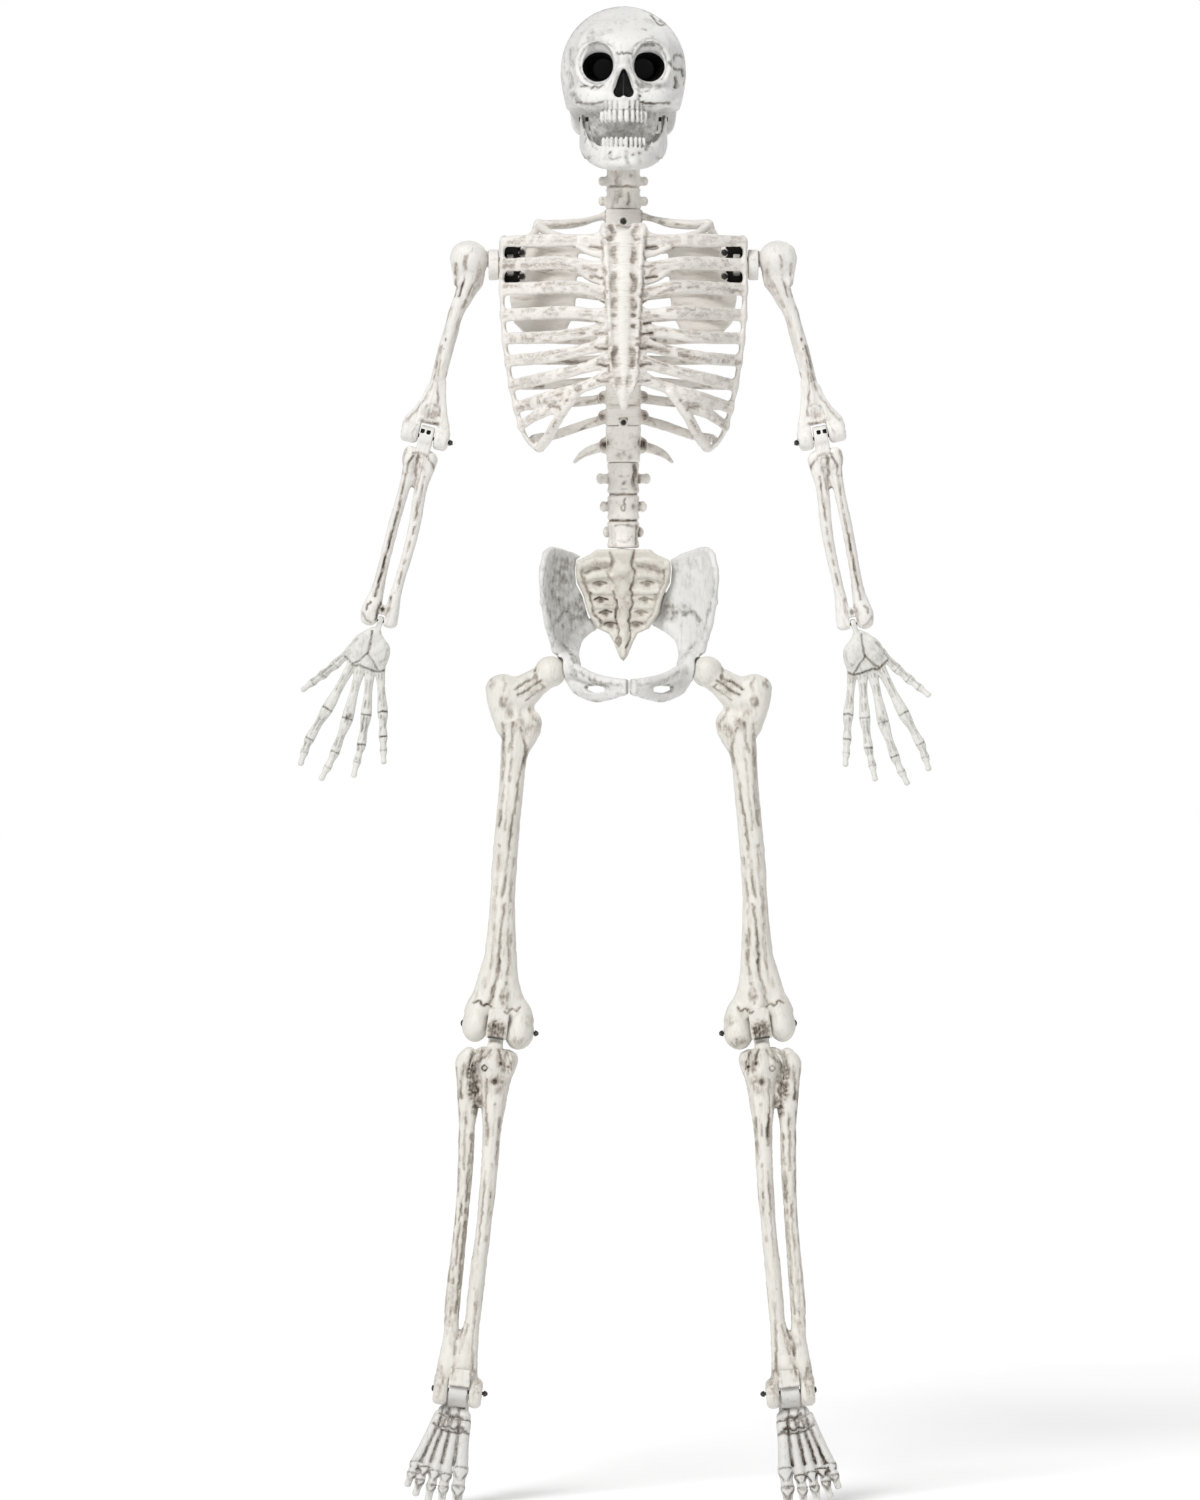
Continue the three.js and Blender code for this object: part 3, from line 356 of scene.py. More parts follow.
class Cast:
    """The mesh taken off a lump of clay, with its wash and its painted shade, in millimetres."""

    def __init__(self, clay, marks=(), grain=(6, 6, 45), hollow_wash=0.5, relief=0.3, streaks=0.35,
                 seed=1):
        grid = vdb.FloatGrid(3.0)
        grid.copyFromArray(clay.depth, tolerance=0.0)
        at, quads = grid.convertToQuads(0.0)
        self.quads = np.asarray(quads)[:, ::-1]
        at = np.asarray(at, float)
        self.points = clay.low + clay.pitch * at
        steps = np.eye(3)
        slope = np.stack([sample(clay.depth, at + s) - sample(clay.depth, at - s) for s in steps], 1)
        self.normals = slope / (np.linalg.norm(slope, axis=1)[:, None] + 1e-9)
        # A place is hollow where the clay round it stands higher than the place itself.
        shallow = blurred(np.clip(clay.depth, -HOLLOW_DEPTH, HOLLOW_DEPTH),
                          max(1, round(HOLLOW_REACH / clay.pitch)))
        hollow = smoothstep(0.15, 1.1, -sample(shallow, at))
        self.grain = self.points / np.array(grain, float)
        patches = 0.5 + 0.5 * noise(self.points, 11.0, seed)
        self.wash = hollow_wash * hollow * (0.45 + 0.75 * patches)
        lumps, dents = noise(self.points, 9.0, seed + 1), noise(self.points, 4.0, seed + 2)
        push = relief * (0.6 * lumps + 0.4 * dents)
        line = noise(self.points, grain, seed + 3) + 0.35 * noise(self.points, 5.0, seed + 4)
        streak = smoothstep(0.38, 0.75, line) * streaks
        self.wash = np.maximum(self.wash, 0.8 * streak)
        push -= 0.5 * streak
        for mark in marks:
            push -= self._mark(mark)
        self.points = self.points + self.normals * push[:, None]
        self.black = 0.0

    def _mark(self, mark):
        u, v, facing, sign = FACES[mark["face"]]
        line, reach = mark["line"], mark["width"] * 3.0 + mark["wobble"]
        flat = self.points[:, (u, v)]
        close = np.all((flat > line.min(0) - reach) & (flat < line.max(0) + reach), axis=1)
        close &= sign * self.normals[:, facing] > 0.05
        chosen = np.flatnonzero(close)
        depth = np.zeros(len(self.points))
        if not len(chosen):
            return depth
        here = self.points[chosen]
        jitter = np.stack([noise(here, 5.0, mark["seed"] + k) for k in (11, 12)], 1)
        away = distance_to_line(flat[chosen] + mark["wobble"] * jitter, line) / mark["width"]
        gaps = 1.0 - mark["broken"] * smoothstep(-0.1, 0.3, noise(here, 7.0, mark["seed"] + 13))
        turn = smoothstep(0.05, 0.35, sign * self.normals[chosen, facing])
        # The wash is darkest in the groove and leaves a fainter stain round it.
        spread = 0.38 * smoothstep(2.9, 0.5, away) + 0.62 * smoothstep(1.25, 0.3, away)
        paint = mark["wash"] * spread * gaps * turn
        self.wash[chosen] = np.maximum(self.wash[chosen], paint)
        depth[chosen] = 1.25 * mark["depth"] * smoothstep(1.3, 0.1, away) * (0.3 + 0.7 * gaps) * turn
        return depth


def roughen(cast, patches, size=2.5, depth=0.8, face="front"):
    """Uneven patches of dirt, and in one place of painted shade, on one face: (middle, half size across and
    up, wash) each.
    """
    u, v, facing, sign = FACES[face]
    beads = noise(cast.points, size, 3)
    turn = smoothstep(0.0, 0.35, sign * cast.normals[:, facing])
    for (a, b), (half_a, half_b), wash in patches:
        flat = ((cast.points[:, u] - a) / half_a) ** 2 + ((cast.points[:, v] - b) / half_b) ** 2
        within = np.exp(-flat ** 2) * turn
        cast.wash = np.maximum(cast.wash, np.clip(wash * within * (0.7 + 0.5 * beads), 0.0, 1.0))
        cast.points = cast.points + cast.normals * (depth * within * beads)[:, None]
    return cast


IN_FRAME = Matrix.Diagonal((MM, MM, MM, 1.0))


def standing(top, foot, side):
    """Stands a bone, drawn down from its upper joint, so that it runs towards `foot`."""
    return standing_along(top, (foot - top).normalized(), side)


def standing_along(top, down, side):
    """Stands a bone so that it runs from its upper joint in the direction `down`."""
    outwards = Vector((-side * down.z, 0.0, side * down.x))
    turn = Matrix((outwards, Vector((0, 1, 0)), -down)).transposed().to_4x4()
    return Matrix.Translation(top) @ turn @ IN_FRAME


def publish(cast, name, body, nodes, material, place=None, seed=0):
    """Makes the piece from its cast, rides it on its body and hides the CAD nodes it stands for."""
    place = np.array(place if place is not None else IN_FRAME)
    points = cast.points @ place[:3, :3].T + place[:3, 3]
    quads = cast.quads if np.linalg.det(place[:3, :3]) > 0 else cast.quads[:, ::-1]
    mesh = bpy.data.meshes.new(name)
    mesh.vertices.add(len(points))
    mesh.vertices.foreach_set("co", points.astype(np.float32).ravel())
    mesh.loops.add(quads.size)
    mesh.loops.foreach_set("vertex_index", quads.astype(np.int32).ravel())
    mesh.polygons.add(len(quads))
    mesh.polygons.foreach_set("loop_start", np.arange(0, quads.size, 4, dtype=np.int32))
    mesh.polygons.foreach_set("use_smooth", np.ones(len(quads), bool))
    mesh.update(calc_edges=True)
    # Some parts of a piece took more wash than others.
    uneven = 0.8 + 0.35 * noise(points / MM, 38.0, seed + 40)
    wash = mesh.attributes.new("wash", "FLOAT", "POINT")
    wash.data.foreach_set("value", np.clip(cast.wash * uneven, 0.0, 1.0).astype(np.float32))
    grain = mesh.attributes.new("grain", "FLOAT_VECTOR", "POINT")
    grain.data.foreach_set("vector", (cast.grain + 5.0 * seed).astype(np.float32).ravel())
    black = mesh.attributes.new("black", "FLOAT", "POINT")
    black.data.foreach_set("value", (cast.black * np.ones(len(points))).astype(np.float32))
    mesh.materials.append(material)
    piece = bpy.data.objects.new(name, mesh)
    bpy.context.scene.collection.objects.link(piece)
    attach(piece, body)
    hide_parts(*nodes)
    return piece


# ---------------------------------------------------------------- materials


class Graph:
    """The shader nodes of a material or of the world."""

    def __init__(self, owner):
        owner.use_nodes = True
        self.nodes, self.links = owner.node_tree.nodes, owner.node_tree.links

    def feed(self, socket, value):
        """Puts a number, a colour or another node's output into a socket."""
        if isinstance(value, (int, float)):
            socket.default_value = value
        elif isinstance(value, tuple):
            socket.default_value = (*value, 1.0)
        else:
            self.links.new(value, socket)

    def surface(self, **values):
        """Feeds the sockets of the surface, with _ for each space in their names."""
        for name, value in values.items():
            self.feed(self.nodes["Principled BSDF"].inputs[name.replace("_", " ")], value)

    def place(self):
        return self.nodes.new("ShaderNodeTexCoord").outputs["Object"]

    def attribute(self, name, output="Fac"):
        node = self.nodes.new("ShaderNodeAttribute")
        node.attribute_name = name
        return node.outputs[output]

    def noise(self, vector, scale, detail=3.0, roughness=0.55):
        node = self.nodes.new("ShaderNodeTexNoise")
        for name, value in (("Scale", scale), ("Detail", detail), ("Roughness", roughness),
                            ("Vector", vector)):
            self.feed(node.inputs[name], value)
        return node.outputs["Fac"]

    def maths(self, operation, *values, clamp=False):
        node = self.nodes.new("ShaderNodeMath")
        node.operation = operation
        node.use_clamp = clamp
        for socket, value in zip(node.inputs, values):
            self.feed(socket, value)
        return node.outputs[0]

    def around(self, middle, value, strength, clamp=False):
        """`strength` times how far a value lies above `middle`."""
        return self.maths("MULTIPLY", self.maths("SUBTRACT", value, middle, clamp=clamp), strength,
                          clamp=clamp)

    def ramp(self, factor, stops):
        node = self.nodes.new("ShaderNodeValToRGB")
        elements = node.color_ramp.elements
        while len(elements) < len(stops):
            elements.new(0.5)
        for element, (place, colour) in zip(elements, stops):
            element.position = place
            element.color = (*colour, 1.0)
        self.feed(node.inputs["Fac"], factor)
        return node.outputs["Color"]

    def mixed(self, factor, a, b):
        node = self.nodes.new("ShaderNodeMix")
        node.data_type = "RGBA"
        # The inputs called A and B are there once for each type of data, and these are the colours.
        for key, value in (("Factor", factor), (6, a), (7, b)):
            self.feed(node.inputs[key], value)
        return node.outputs[2]

    def bump(self, height, strength, distance):
        node = self.nodes.new("ShaderNodeBump")
        for name, value in (("Strength", strength), ("Distance", distance), ("Height", height)):
            self.feed(node.inputs[name], value)
        return node.outputs["Normal"]


def grey(value):
    return (value,) * 3


def bone_plastic(name, light, stain):
    """Off-white moulded plastic with brown wash rubbed into its grooves and wiped off the rest; the same
    channel also carries painted shade in some hollows and gaps.
    """
    material = bpy.data.materials.new(name)
    graph = Graph(material)
    maths = graph.maths
    wash = graph.attribute("wash")
    fine = graph.noise(graph.place(), 420.0, 3.0, 0.7)
    streaks = graph.noise(graph.attribute("grain", "Vector"), 2.6, 5.0, 0.65)

    # The body colour drifts a little, and a thin film of stain follows the grain.
    drift = graph.ramp(graph.noise(graph.place(), 16.0, 4.0), [(0.35, grey(0)), (0.65, grey(1))])
    body = graph.mixed(drift, light, tuple(0.93 * c for c in light))
    body = graph.mixed(graph.around(0.52, streaks, 1.6, clamp=True), body, stain)

    # Wash: strongest where the bone is grooved, with an edge broken up by the grain.
    broken = maths("ADD", graph.around(0.5, streaks, 0.9), graph.around(0.5, fine, 0.5))
    washed = maths("MINIMUM", maths("MULTIPLY", wash, 3.0), 1.0)
    lifted = maths("ADD", wash, maths("MULTIPLY", broken, washed))
    strength = graph.ramp(lifted, [(0.05, grey(0)), (0.45, grey(0.66)), (0.85, grey(1))])
    tone = graph.ramp(lifted, [(0.25, stain), (0.8, DARK), (1.0, tuple(0.25 * c for c in DARK))])
    colour = graph.mixed(strength, body, tone)
    colour = graph.mixed(graph.attribute("black"), colour, grey(0.004))

    dull = maths("MULTIPLY_ADD", strength, 0.22, 0.5)
    height = maths("SUBTRACT", maths("ADD", fine, streaks), maths("MULTIPLY", strength, 0.8))
    graph.surface(Base_Color=colour, Roughness=maths("ADD", dull, maths("MULTIPLY", fine, 0.08)),
                  Specular_IOR_Level=0.42, Normal=graph.bump(height, 0.35, 0.0006))
    return material


def blackened_steel(name):
    material = bpy.data.materials.new(name)
    graph = Graph(material)
    brushed = graph.noise(graph.place(), 900.0, 4.0)
    cloud = graph.noise(graph.place(), 60.0)
    colour = graph.ramp(cloud, [(0.3, (0.035, 0.034, 0.033)), (0.7, (0.085, 0.083, 0.08))])
    graph.surface(Base_Color=colour, Metallic=0.85,
                  Roughness=graph.maths("MULTIPLY_ADD", brushed, 0.3, 0.25),
                  Normal=graph.bump(brushed, 0.2, 0.0002))
    return material


STAIN, GREY_STAIN, DARK = (0.33, 0.275, 0.22), (0.31, 0.29, 0.26), (0.085, 0.066, 0.05)
plastic = {part: bone_plastic(f"{part}_plastic", light, stain) for part, light, stain in (
    ("skull", (0.79, 0.785, 0.765), GREY_STAIN),
    ("rib", (0.81, 0.78, 0.735), STAIN),
    ("spine", (0.86, 0.835, 0.785), STAIN),
    ("pelvis", (0.74, 0.735, 0.715), GREY_STAIN),
    ("sacrum", (0.70, 0.675, 0.61), STAIN),
    ("arm", (0.80, 0.78, 0.745), STAIN),
    ("hand", (0.73, 0.72, 0.68), GREY_STAIN),
    ("leg", (0.745, 0.725, 0.67), STAIN),
    ("foot", (0.68, 0.665, 0.64), GREY_STAIN),
)}
steel = blackened_steel("blackened_steel")


# ---------------------------------------------------------------- head


def egg(centre, radii, top):
    """The part of an egg-shaped ball that lies below `top`."""
    low, high, measure = ball(centre, radii)
    high[2] = top
    return low, high, lambda x, y, z: np.maximum(measure(x, y, z), z - top)


def zigzag(start, end, waves, height, seed=0):
    """Points of a skull suture that wanders between two ends."""
    a, b = np.array(start, float), np.array(end, float)
    t = np.linspace(0.0, 1.0, 2 * waves + 1)
    across = np.array([a[1] - b[1], b[0] - a[0]]) / np.linalg.norm(b - a)
    sway = height * np.where(np.arange(len(t)) % 2, 1.0, -1.0) * (0.6 + 0.4 * np.sin(7.0 * t + seed))
    return [tuple(p) for p in a + t[:, None] * (b - a) + sway[:, None] * across]


def tooth(x, arch, half, root, neck, tip):
    """A tooth and the ridge of its root, standing on a dental arch (depth, half width, reach)."""
    depth, span, reach = arch
    y = depth - reach * math.sqrt(1.0 - (x / span) ** 2)
    outwards = unit(np.array([x / span ** 2, (y - depth) / reach ** 2, 0.0]))
    lean = 0.5 * (neck - tip)
    way = 1.0 if tip < neck else -1.0
    y -= 1.2
    crown = bar([
        (x, y + 1.6, neck + 1.5 * way, 0.6 * half, 1.6), (x, y, neck - 2.2 * way, 0.93 * half, 2.9),
        (x, y - 0.2, neck - lean * 1.3, 0.97 * half, 2.9), (x, y + 0.4, tip + 2.6 * way, 0.84 * half, 2.2),
        (x, y + 1.0, tip + 0.9 * way, 0.5 * half, 1.2),
    ], hint=outwards)
    ridge = bar([(x, y + 3.6, neck, 0.66 * half, 2.2),
                 (0.97 * x, y + 3.9, (neck + root) / 2, 0.62 * half, 2.4),
                 (0.94 * x, y + 5.4, root, 0.35 * half, 1.6)], hint=outwards)
    return crown, ridge


# The dental arches, the teeth as (distance from the middle, half width), and the heights at which
# the teeth leave the gum and end.
UPPER_ARCH, LOWER_ARCH = (-98.0, 26.5, 25.0), (-96.0, 29.0, 24.0)
UPPER_TEETH = [(3.5, 3.2), (10.0, 2.8), (15.3, 2.6), (19.8, 2.4), (23.2, 2.3)]
LOWER_TEETH = [(2.8, 2.5), (8.1, 2.4), (13.3, 2.5), (18.0, 2.3), (21.8, 2.0)]
GUM, UPPER_TIP, LOWER_GUM, LOWER_TIP = 154.0, 141.0, 114.0, 125.6
JAW_PIVOT, JAW_BORE = (45.0, -42.0, 148.0), 3.2


def sink_face(cast):
    """Sets the front of the head a little lower than the back."""
    cast.points[:, 2] -= 3.2 * smoothstep(50.0, 105.0, -cast.points[:, 1])


def jaw_bore(side, start, end):
    """The hole for the jaw's pin, between two distances from the middle."""
    return drum((side * start, *JAW_PIVOT[1:]), (side * end, *JAW_PIVOT[1:]), JAW_BORE, 0.3)


def cranium():
    clay = Clay((-73, -138, 108), (73, 54, 278), 1.0)
    clay.add(ball((0, -34, 204), (69.5, 84, 70)))
    clay.add(egg((0, -31, 200), (69, 80, 96), 200.0), blend=3)
    clay.cut(brick((-90, -140, 90), (90, 60, 134), 1), blend=5)
    clay.cut(brick((-90, -140, 90), (90, -66, 158), 1), blend=3)
    clay.add(stack([
        (160.5, 0, -95, 44, 26), (166, 0, -95.5, 49.5, 27), (172, 0, -96, 51.5, 27), (180, 0, -95, 51, 27),
        (192, 0, -94, 52, 27), (205, 0, -93, 54, 28), (218, 0, -92, 54, 29.5), (230, 0, -90, 51, 31),
        (242, 0, -85, 45, 28), (254, 0, -78, 32, 20),
    ], power=2.4), blend=7)
    clay.add(stack([(148, 0, -98, 23, 21), (154, 0, -98, 24.5, 23.5), (162, 0, -98, 26, 26),
                    (172, 0, -98, 27, 28)]), blend=2.5)
    for side in (1, -1):
        clay.cut(ball((side * 74, -84, 208), (15, 24, 27)), blend=12)
        clay.add(bar(on(side, [
            (22, -117, 168, 6, 7.4), (38, -112, 169, 7, 9), (50, -99, 170.5, 6, 10),
            (57, -78, 173, 4, 6.5), (61, -50, 172, 3.4, 5),
        ])), blend=4)
        brow = [(29.8 + 21.5 * math.cos(a), 205.5 + 24.5 * math.sin(a))
                for a in np.radians(range(-80, 200, 25))]
        clay.add(beam([
            (side * x, -118.5 + 0.021 * max(0.0, x - 26) ** 2, z, 2.8, 2.8) for x, z in brow
        ]), blend=3.5)
        clay.add(bar(on(side, [(5, -129, 200, 2.4), (11.6, -124, 187, 2.6), (14, -122, 177, 2.8),
                               (12, -121, 168, 2.8)])), blend=3)
        clay.add(ball((side * 47, -4, 150), (11, 14, 16)), blend=6)
    clay.add(beam([(0, -116, 224, 8, 5), (0, -122, 213, 6.5, 5), (0, -130, 202, 5.5, 4.5)]), blend=6)
    clay.add(ball((0, -122, 169), (3.5, 4.5, 4)), blend=3)
    for side in (1, -1):
        orbit = [(-136, 30, 206, 22, 26), (-122, 29.8, 206, 19.4, 23.6), (-116, 29, 205.4, 18, 21.6),
                 (-110, 28.4, 204.4, 16.8, 17.6), (-103, 28, 204, 16.4, 16), (-72, 22, 202, 12, 12)]
        clay.cut(stack([(y, side * x, z, a, b) for y, x, z, a, b in orbit], axis=1, power=2.1), blend=1.2)
        clay.cut(drum((side * 5.3, -145, 174.2), (side * 5.0, -104, 174.2), 6.0, 0.5), blend=1.2)
        clay.cut(brick((side * 38.5, -82, 90), (side * 90, -10, 159), 3), blend=2)
        clay.cut(jaw_bore(side, 33, 46))
    clay.cut(stack([(170.4, 0, -124, 9.5, 20), (177, 0, -124, 9.6, 20), (187.5, 0, -124, 6.6, 20),
                    (195, 0, -124, 3.6, 20), (199.5, 0, -124, 1.6, 20)], power=5.0), blend=1.2)
    clay.add(brick((-0.9, -118, 168), (0.9, -103, 196), 0.6), blend=0.8)
    for x, half in UPPER_TEETH:
        for side in (1, -1):
            crown, ridge = tooth(side * x, UPPER_ARCH, half, 167.0, GUM, UPPER_TIP)
            clay.add(ridge, blend=2.4)
            clay.add(crown, blend=0.2)
    # The back of the mouth, seen between the teeth.
    clay.add(stack([(110, 0, -76, 22, 4), (116, 0, -78, 28, 6), (122, 0, -80, 32, 8),
                    (130, 0, -84, 35.4, 10.5), (146, 0, -88, 38.6, 13), (160, 0, -88, 38.6, 13)],
                   power=3.0), blend=2)
    clay.cut(spine_drum(90, 172, 21.5, 2), blend=2)
    for side in (1, -1):
        clay.cut(drum((side * 18, -26, 134), (side * 26.5, -26, 134), 3.2, 0.3))

    fine = {"width": 1.35, "depth": 0.8, "wobble": 0.8}
    soft = {"width": 3.4, "depth": 0.25, "wobble": 2.2}
    marks = [
        *drawn(fine,
               ([(-7.5, 217.5), (-5, 216), (-2, 218), (1, 216.6), (4, 217.6), (9, 216.4)], 1.0),
               ([(10.5, 212), (11, 222), (18, 229), (29, 230), (40, 225), (46, 216)], 0.55),
               ([(-10, 222), (-19, 228.5), (-29, 230)], 0.4),
               ([(-47, 182), (-40, 181.4)], 0.75),
               ([(-36, 178.6), (-32, 181.4), (-28, 179.6), (-23, 182.6)], 0.95)),
        stroke([(15, 184), (23, 180.5), (32, 181), (38, 183.5)], wash=0.45, **soft),
        stroke([(14, 177), (21, 174), (28, 175.5)], wash=0.4, **fine),
        pit(17.8, 170.3, 2.0, wash=0.95), pit(16.6, 166.6, 1.4, wash=0.8),
        # Painted shade along the lower edges of the cheekbones.
        *drawn(fine,
               ([(-51, 164), (-42, 161.6), (-30, 161.6), (-24, 163)], 0.75),
               ([(19, 163), (30, 161.4), (40, 162.6), (51, 163.6)], 0.85)),
        stroke([(54, 210), (57, 217), (61, 218.4), (66, 216.6)], 2.0, 1.2, 0.95),
        stroke([(50, 208.4), (56, 203.4), (60, 201.8), (65, 202.6), (66.5, 196)], 1.9, 1.2, 0.95),
        stroke([(57.6, 193), (58.6, 185), (55.8, 179.6)], 1.9, 1.1, 0.95),
        pit(55.8, 179.8, 1.7, wash=0.95),
        stroke([(31, 262), (35.5, 256), (38, 252.4), (43, 250.6), (46.5, 253), (41, 256)], wash=0.7, **fine),
        *drawn(soft,
               ([(-36, 242), (-29, 239), (-22, 241.5), (-15, 242)], 0.3),
               ([(-37, 235), (-33, 231), (-37, 228)], 0.4)),
        stroke([(20, 245.6), (25, 243.6)], wash=0.35, **fine),
        stroke([(33, 234), (38, 229), (41, 222)], wash=0.4, **soft),
        pit(-46.5, 241.5, 1.5, wash=0.7), pit(-47, 164, 1.6, wash=0.8),
        *drawn(soft,
               ([(-58, 224), (-59, 214), (-56, 206)], 0.4),
               ([(-61, 198), (-58, 189), (-60, 181)], 0.4),
               ([(-60, 176), (-54, 171), (-50, 166)], 0.5)),
        *drawn(fine,
               (zigzag((-58, -52), (58, -52), 13, 2.4, 1), 0.7),
               (zigzag((0, -50), (0, 28), 9, 2.2, 2), 0.7), face="top"),
        *drawn(fine,
               (zigzag((0, 238), (-52, 188), 9, 2.2, 3), 0.75),
               (zigzag((0, 238), (52, 188), 9, 2.2, 4), 0.75), face="back"),
    ]
    for face in ("outer", "inner"):
        marks += [
            *drawn(fine,
                   ([(-52, 186), (-36, 199), (-14, 200), (4, 188), (8, 172)], 0.6),
                   ([(-40, 232), (-52, 214), (-56, 196)], 0.5), face=face),
            stroke([(-20, 172), (-6, 166), (10, 168)], face=face, wash=0.5, **soft),
            pit(-22, 160, 3.0, face=face, wash=0.9),
        ]
    for (a, _), (b, _) in zip(UPPER_TEETH[:-1], UPPER_TEETH[1:]):
        for side in (1, -1):
            x = side * (a + b) / 2
            dirt = 0.75 if side > 0 else 0.4
            marks.append(stroke([(x, GUM + 2), (x, UPPER_TIP)], 0.9, 0.5, dirt, wobble=0.25, broken=0.5,
                                seed=int(a)))
            marks.append(stroke([(x, 164), (x, 157)], 1.1, 0.6, dirt, wobble=0.3, broken=0.3,
                                seed=int(a) + 3))
    marks.append(stroke([(0, GUM + 2), (0, UPPER_TIP)], 0.7, 0.4, 0.45, wobble=0.2))
    for x, half in UPPER_TEETH:
        for side in (1, -1):
            neckline = [(side * x + k * 0.9 * half, GUM + 1.7 * (1 - abs(k))) for k in (-1, 0, 1)]
            marks.append(stroke(neckline, 1.0, 0.5, 0.45 if side > 0 else 0.3, broken=0.3, wobble=0.3,
                                seed=int(x)))
    for side in (1, -1):
        marks += [ring(side * 29.8, 206, 18.6, 22.4, width=1.2, depth=0.3, wash=0.5, broken=0.5,
                       seed=side + 3),
                  ring(side * 30, 205.6, 25.5, 28, width=1.6, depth=0.4, wash=0.3, broken=0.7,
                       seed=side + 8),
                  # Painted shade: a streak below each cheekbone and a band under each brow, above the eye.
                  stroke(on(side, [(32, 150), (35, 138)]), 3.0, 0.2, 0.4, broken=0.6),
                  stroke(on(side, [(20, 226), (30, 228), (38, 224)]), 2.6, 0.2, 0.6, broken=0.5)]

    # The hollows of the eyes and the nose are black inside, and the back of the mouth is darkened with
    # painted shade.
    cast = Cast(clay, marks, grain=(14, 14, 16), hollow_wash=0.42, relief=0.25, streaks=0.22, seed=3)
    x, y, z = cast.points.T
    within_eye = np.hypot((np.abs(x) - 27) / 18.4, (z - 203.0) / 17.0) < 1
    eyes = smoothstep(-111.4, -109.6, y) * within_eye * (y < -60)
    within_nose = (np.abs(x) < 11.8) & (z > 166.8) & (z < 200.0)
    nose = smoothstep(-122.0, -119.4, y) * within_nose * (y < -95)
    cast.black = np.maximum(eyes, 0.9 * nose)
    # Painted shade at the back of the mouth, behind the teeth.
    within_mouth = (y < -60) & (y > -103.5) & (np.abs(x) < 41)
    mouth = smoothstep(160, 152, z) * smoothstep(104, 122, z) * within_mouth
    cast.wash = np.maximum(cast.wash, 0.5 * mouth)
    sink_face(cast)
    return cast


def mandible():
    clay = Clay((-52, -132, 84), (52, -26, 160), 1.05)
    half = [(20, -114, 102.5, 6, 12.5), (34, -93, 108, 5.4, 11), (42.5, -66, 115, 4.2, 11),
            (44.5, -52, 120, 3.6, 12)]
    clay.add(bar([*mirrored(half)[::-1], (0, -121, 102, 6, 12.5), *half]))
    rise = [(31.5, -99, 113, 2.6, 4), (39.4, -86, 119, 2.6, 5), (42.6, -76, 127, 2.4, 6),
            (44.8, -64, 137, 2.2, 6), (45.2, -54, 147, 2.2, 5)]
    for way in (rise, mirrored(rise)):
        clay.add(bar(way), blend=3)
    clay.add(ball((0, -123, 95), (12, 6, 5)), *(ball((x, -120.5, 97), (7, 7, 7)) for x in (11, -11)),
             blend=3)
    for side in (1, -1):
        clay.add(beam(on(side, [(44.6, -50, 118, 3.2, 12), (45.2, -47, 130, 3.0, 13),
                                (45.2, -44.5, 149, 2.8, 9.5)])), blend=4)
        clay.cut(ball((side * 45, -46, 160), (8, 4.5, 9)), blend=2)
        clay.cut(jaw_bore(side, 36, 60))
        # A web inside the cheek, behind the back of the mouth.
        clay.add(brick((side * 32, -70, 103), (side * 43.5, -65.5, 131), 1.5), blend=2)
        for x, width in LOWER_TEETH:
            crown, ridge = tooth(side * x, LOWER_ARCH, width, 106.0, LOWER_GUM, LOWER_TIP)
            clay.add(ridge, blend=1.6)
            clay.add(crown, blend=0.3)
    fine = {"width": 1.2, "depth": 0.6, "wobble": 0.8}
    marks = [
        pit(10, 105, 1.8, wash=0.6), pit(17.5, 107.4, 2.0, wash=0.9), pit(25, 112, 1.8, wash=0.9),
        pit(-15, 107.6, 1.8, wash=0.6), stroke([(-17, 102), (-10, 100), (-4, 102.4)], wash=0.45, **fine),
        stroke([(4, 109), (3.4, 101), (5.5, 95)], width=2.4, wash=0.35),
        # Painted shadow in the gap between the jaw and the cheek, on one side.
        stroke([(-45, 150), (-44.6, 143), (-43, 138)], width=1.8, wash=0.85),
        stroke([(-43.5, 133), (-42.5, 126), (-44, 121)], wash=0.5, **fine),
        # The same painted shadow on the other side.
        stroke([(45.5, 156), (44.4, 147), (43, 140), (41, 134)], width=2.0, wash=0.85),
        *drawn(fine,
               ([(-30, 112), (-35, 118), (-38, 128)], 0.4),
               ([(20, 118), (24, 114), (28, 116)], 0.6)),
    ]
    for face in ("outer", "inner"):
        marks.append(stroke([(-100, 104), (-82, 102), (-66, 106)], face=face, wash=0.4, width=2.4))
        marks.append(stroke([(-58, 126), (-50, 118), (-42, 122)], face=face, wash=0.5, **fine))
    for (a, _), (b, _) in zip(LOWER_TEETH[:-1], LOWER_TEETH[1:]):
        for side in (1, -1):
            x = side * (a + b) / 2
            dirt = 0.8 if side > 0 else 0.35
            marks.append(stroke([(x, 127), (x, LOWER_GUM)], 0.8, 0.5, dirt, wobble=0.25, broken=0.4,
                                seed=int(a)))
    cast = Cast(clay, marks, grain=(14, 14, 14), hollow_wash=0.45, relief=0.3, streaks=0.25, seed=5)
    sink_face(cast)
    return cast


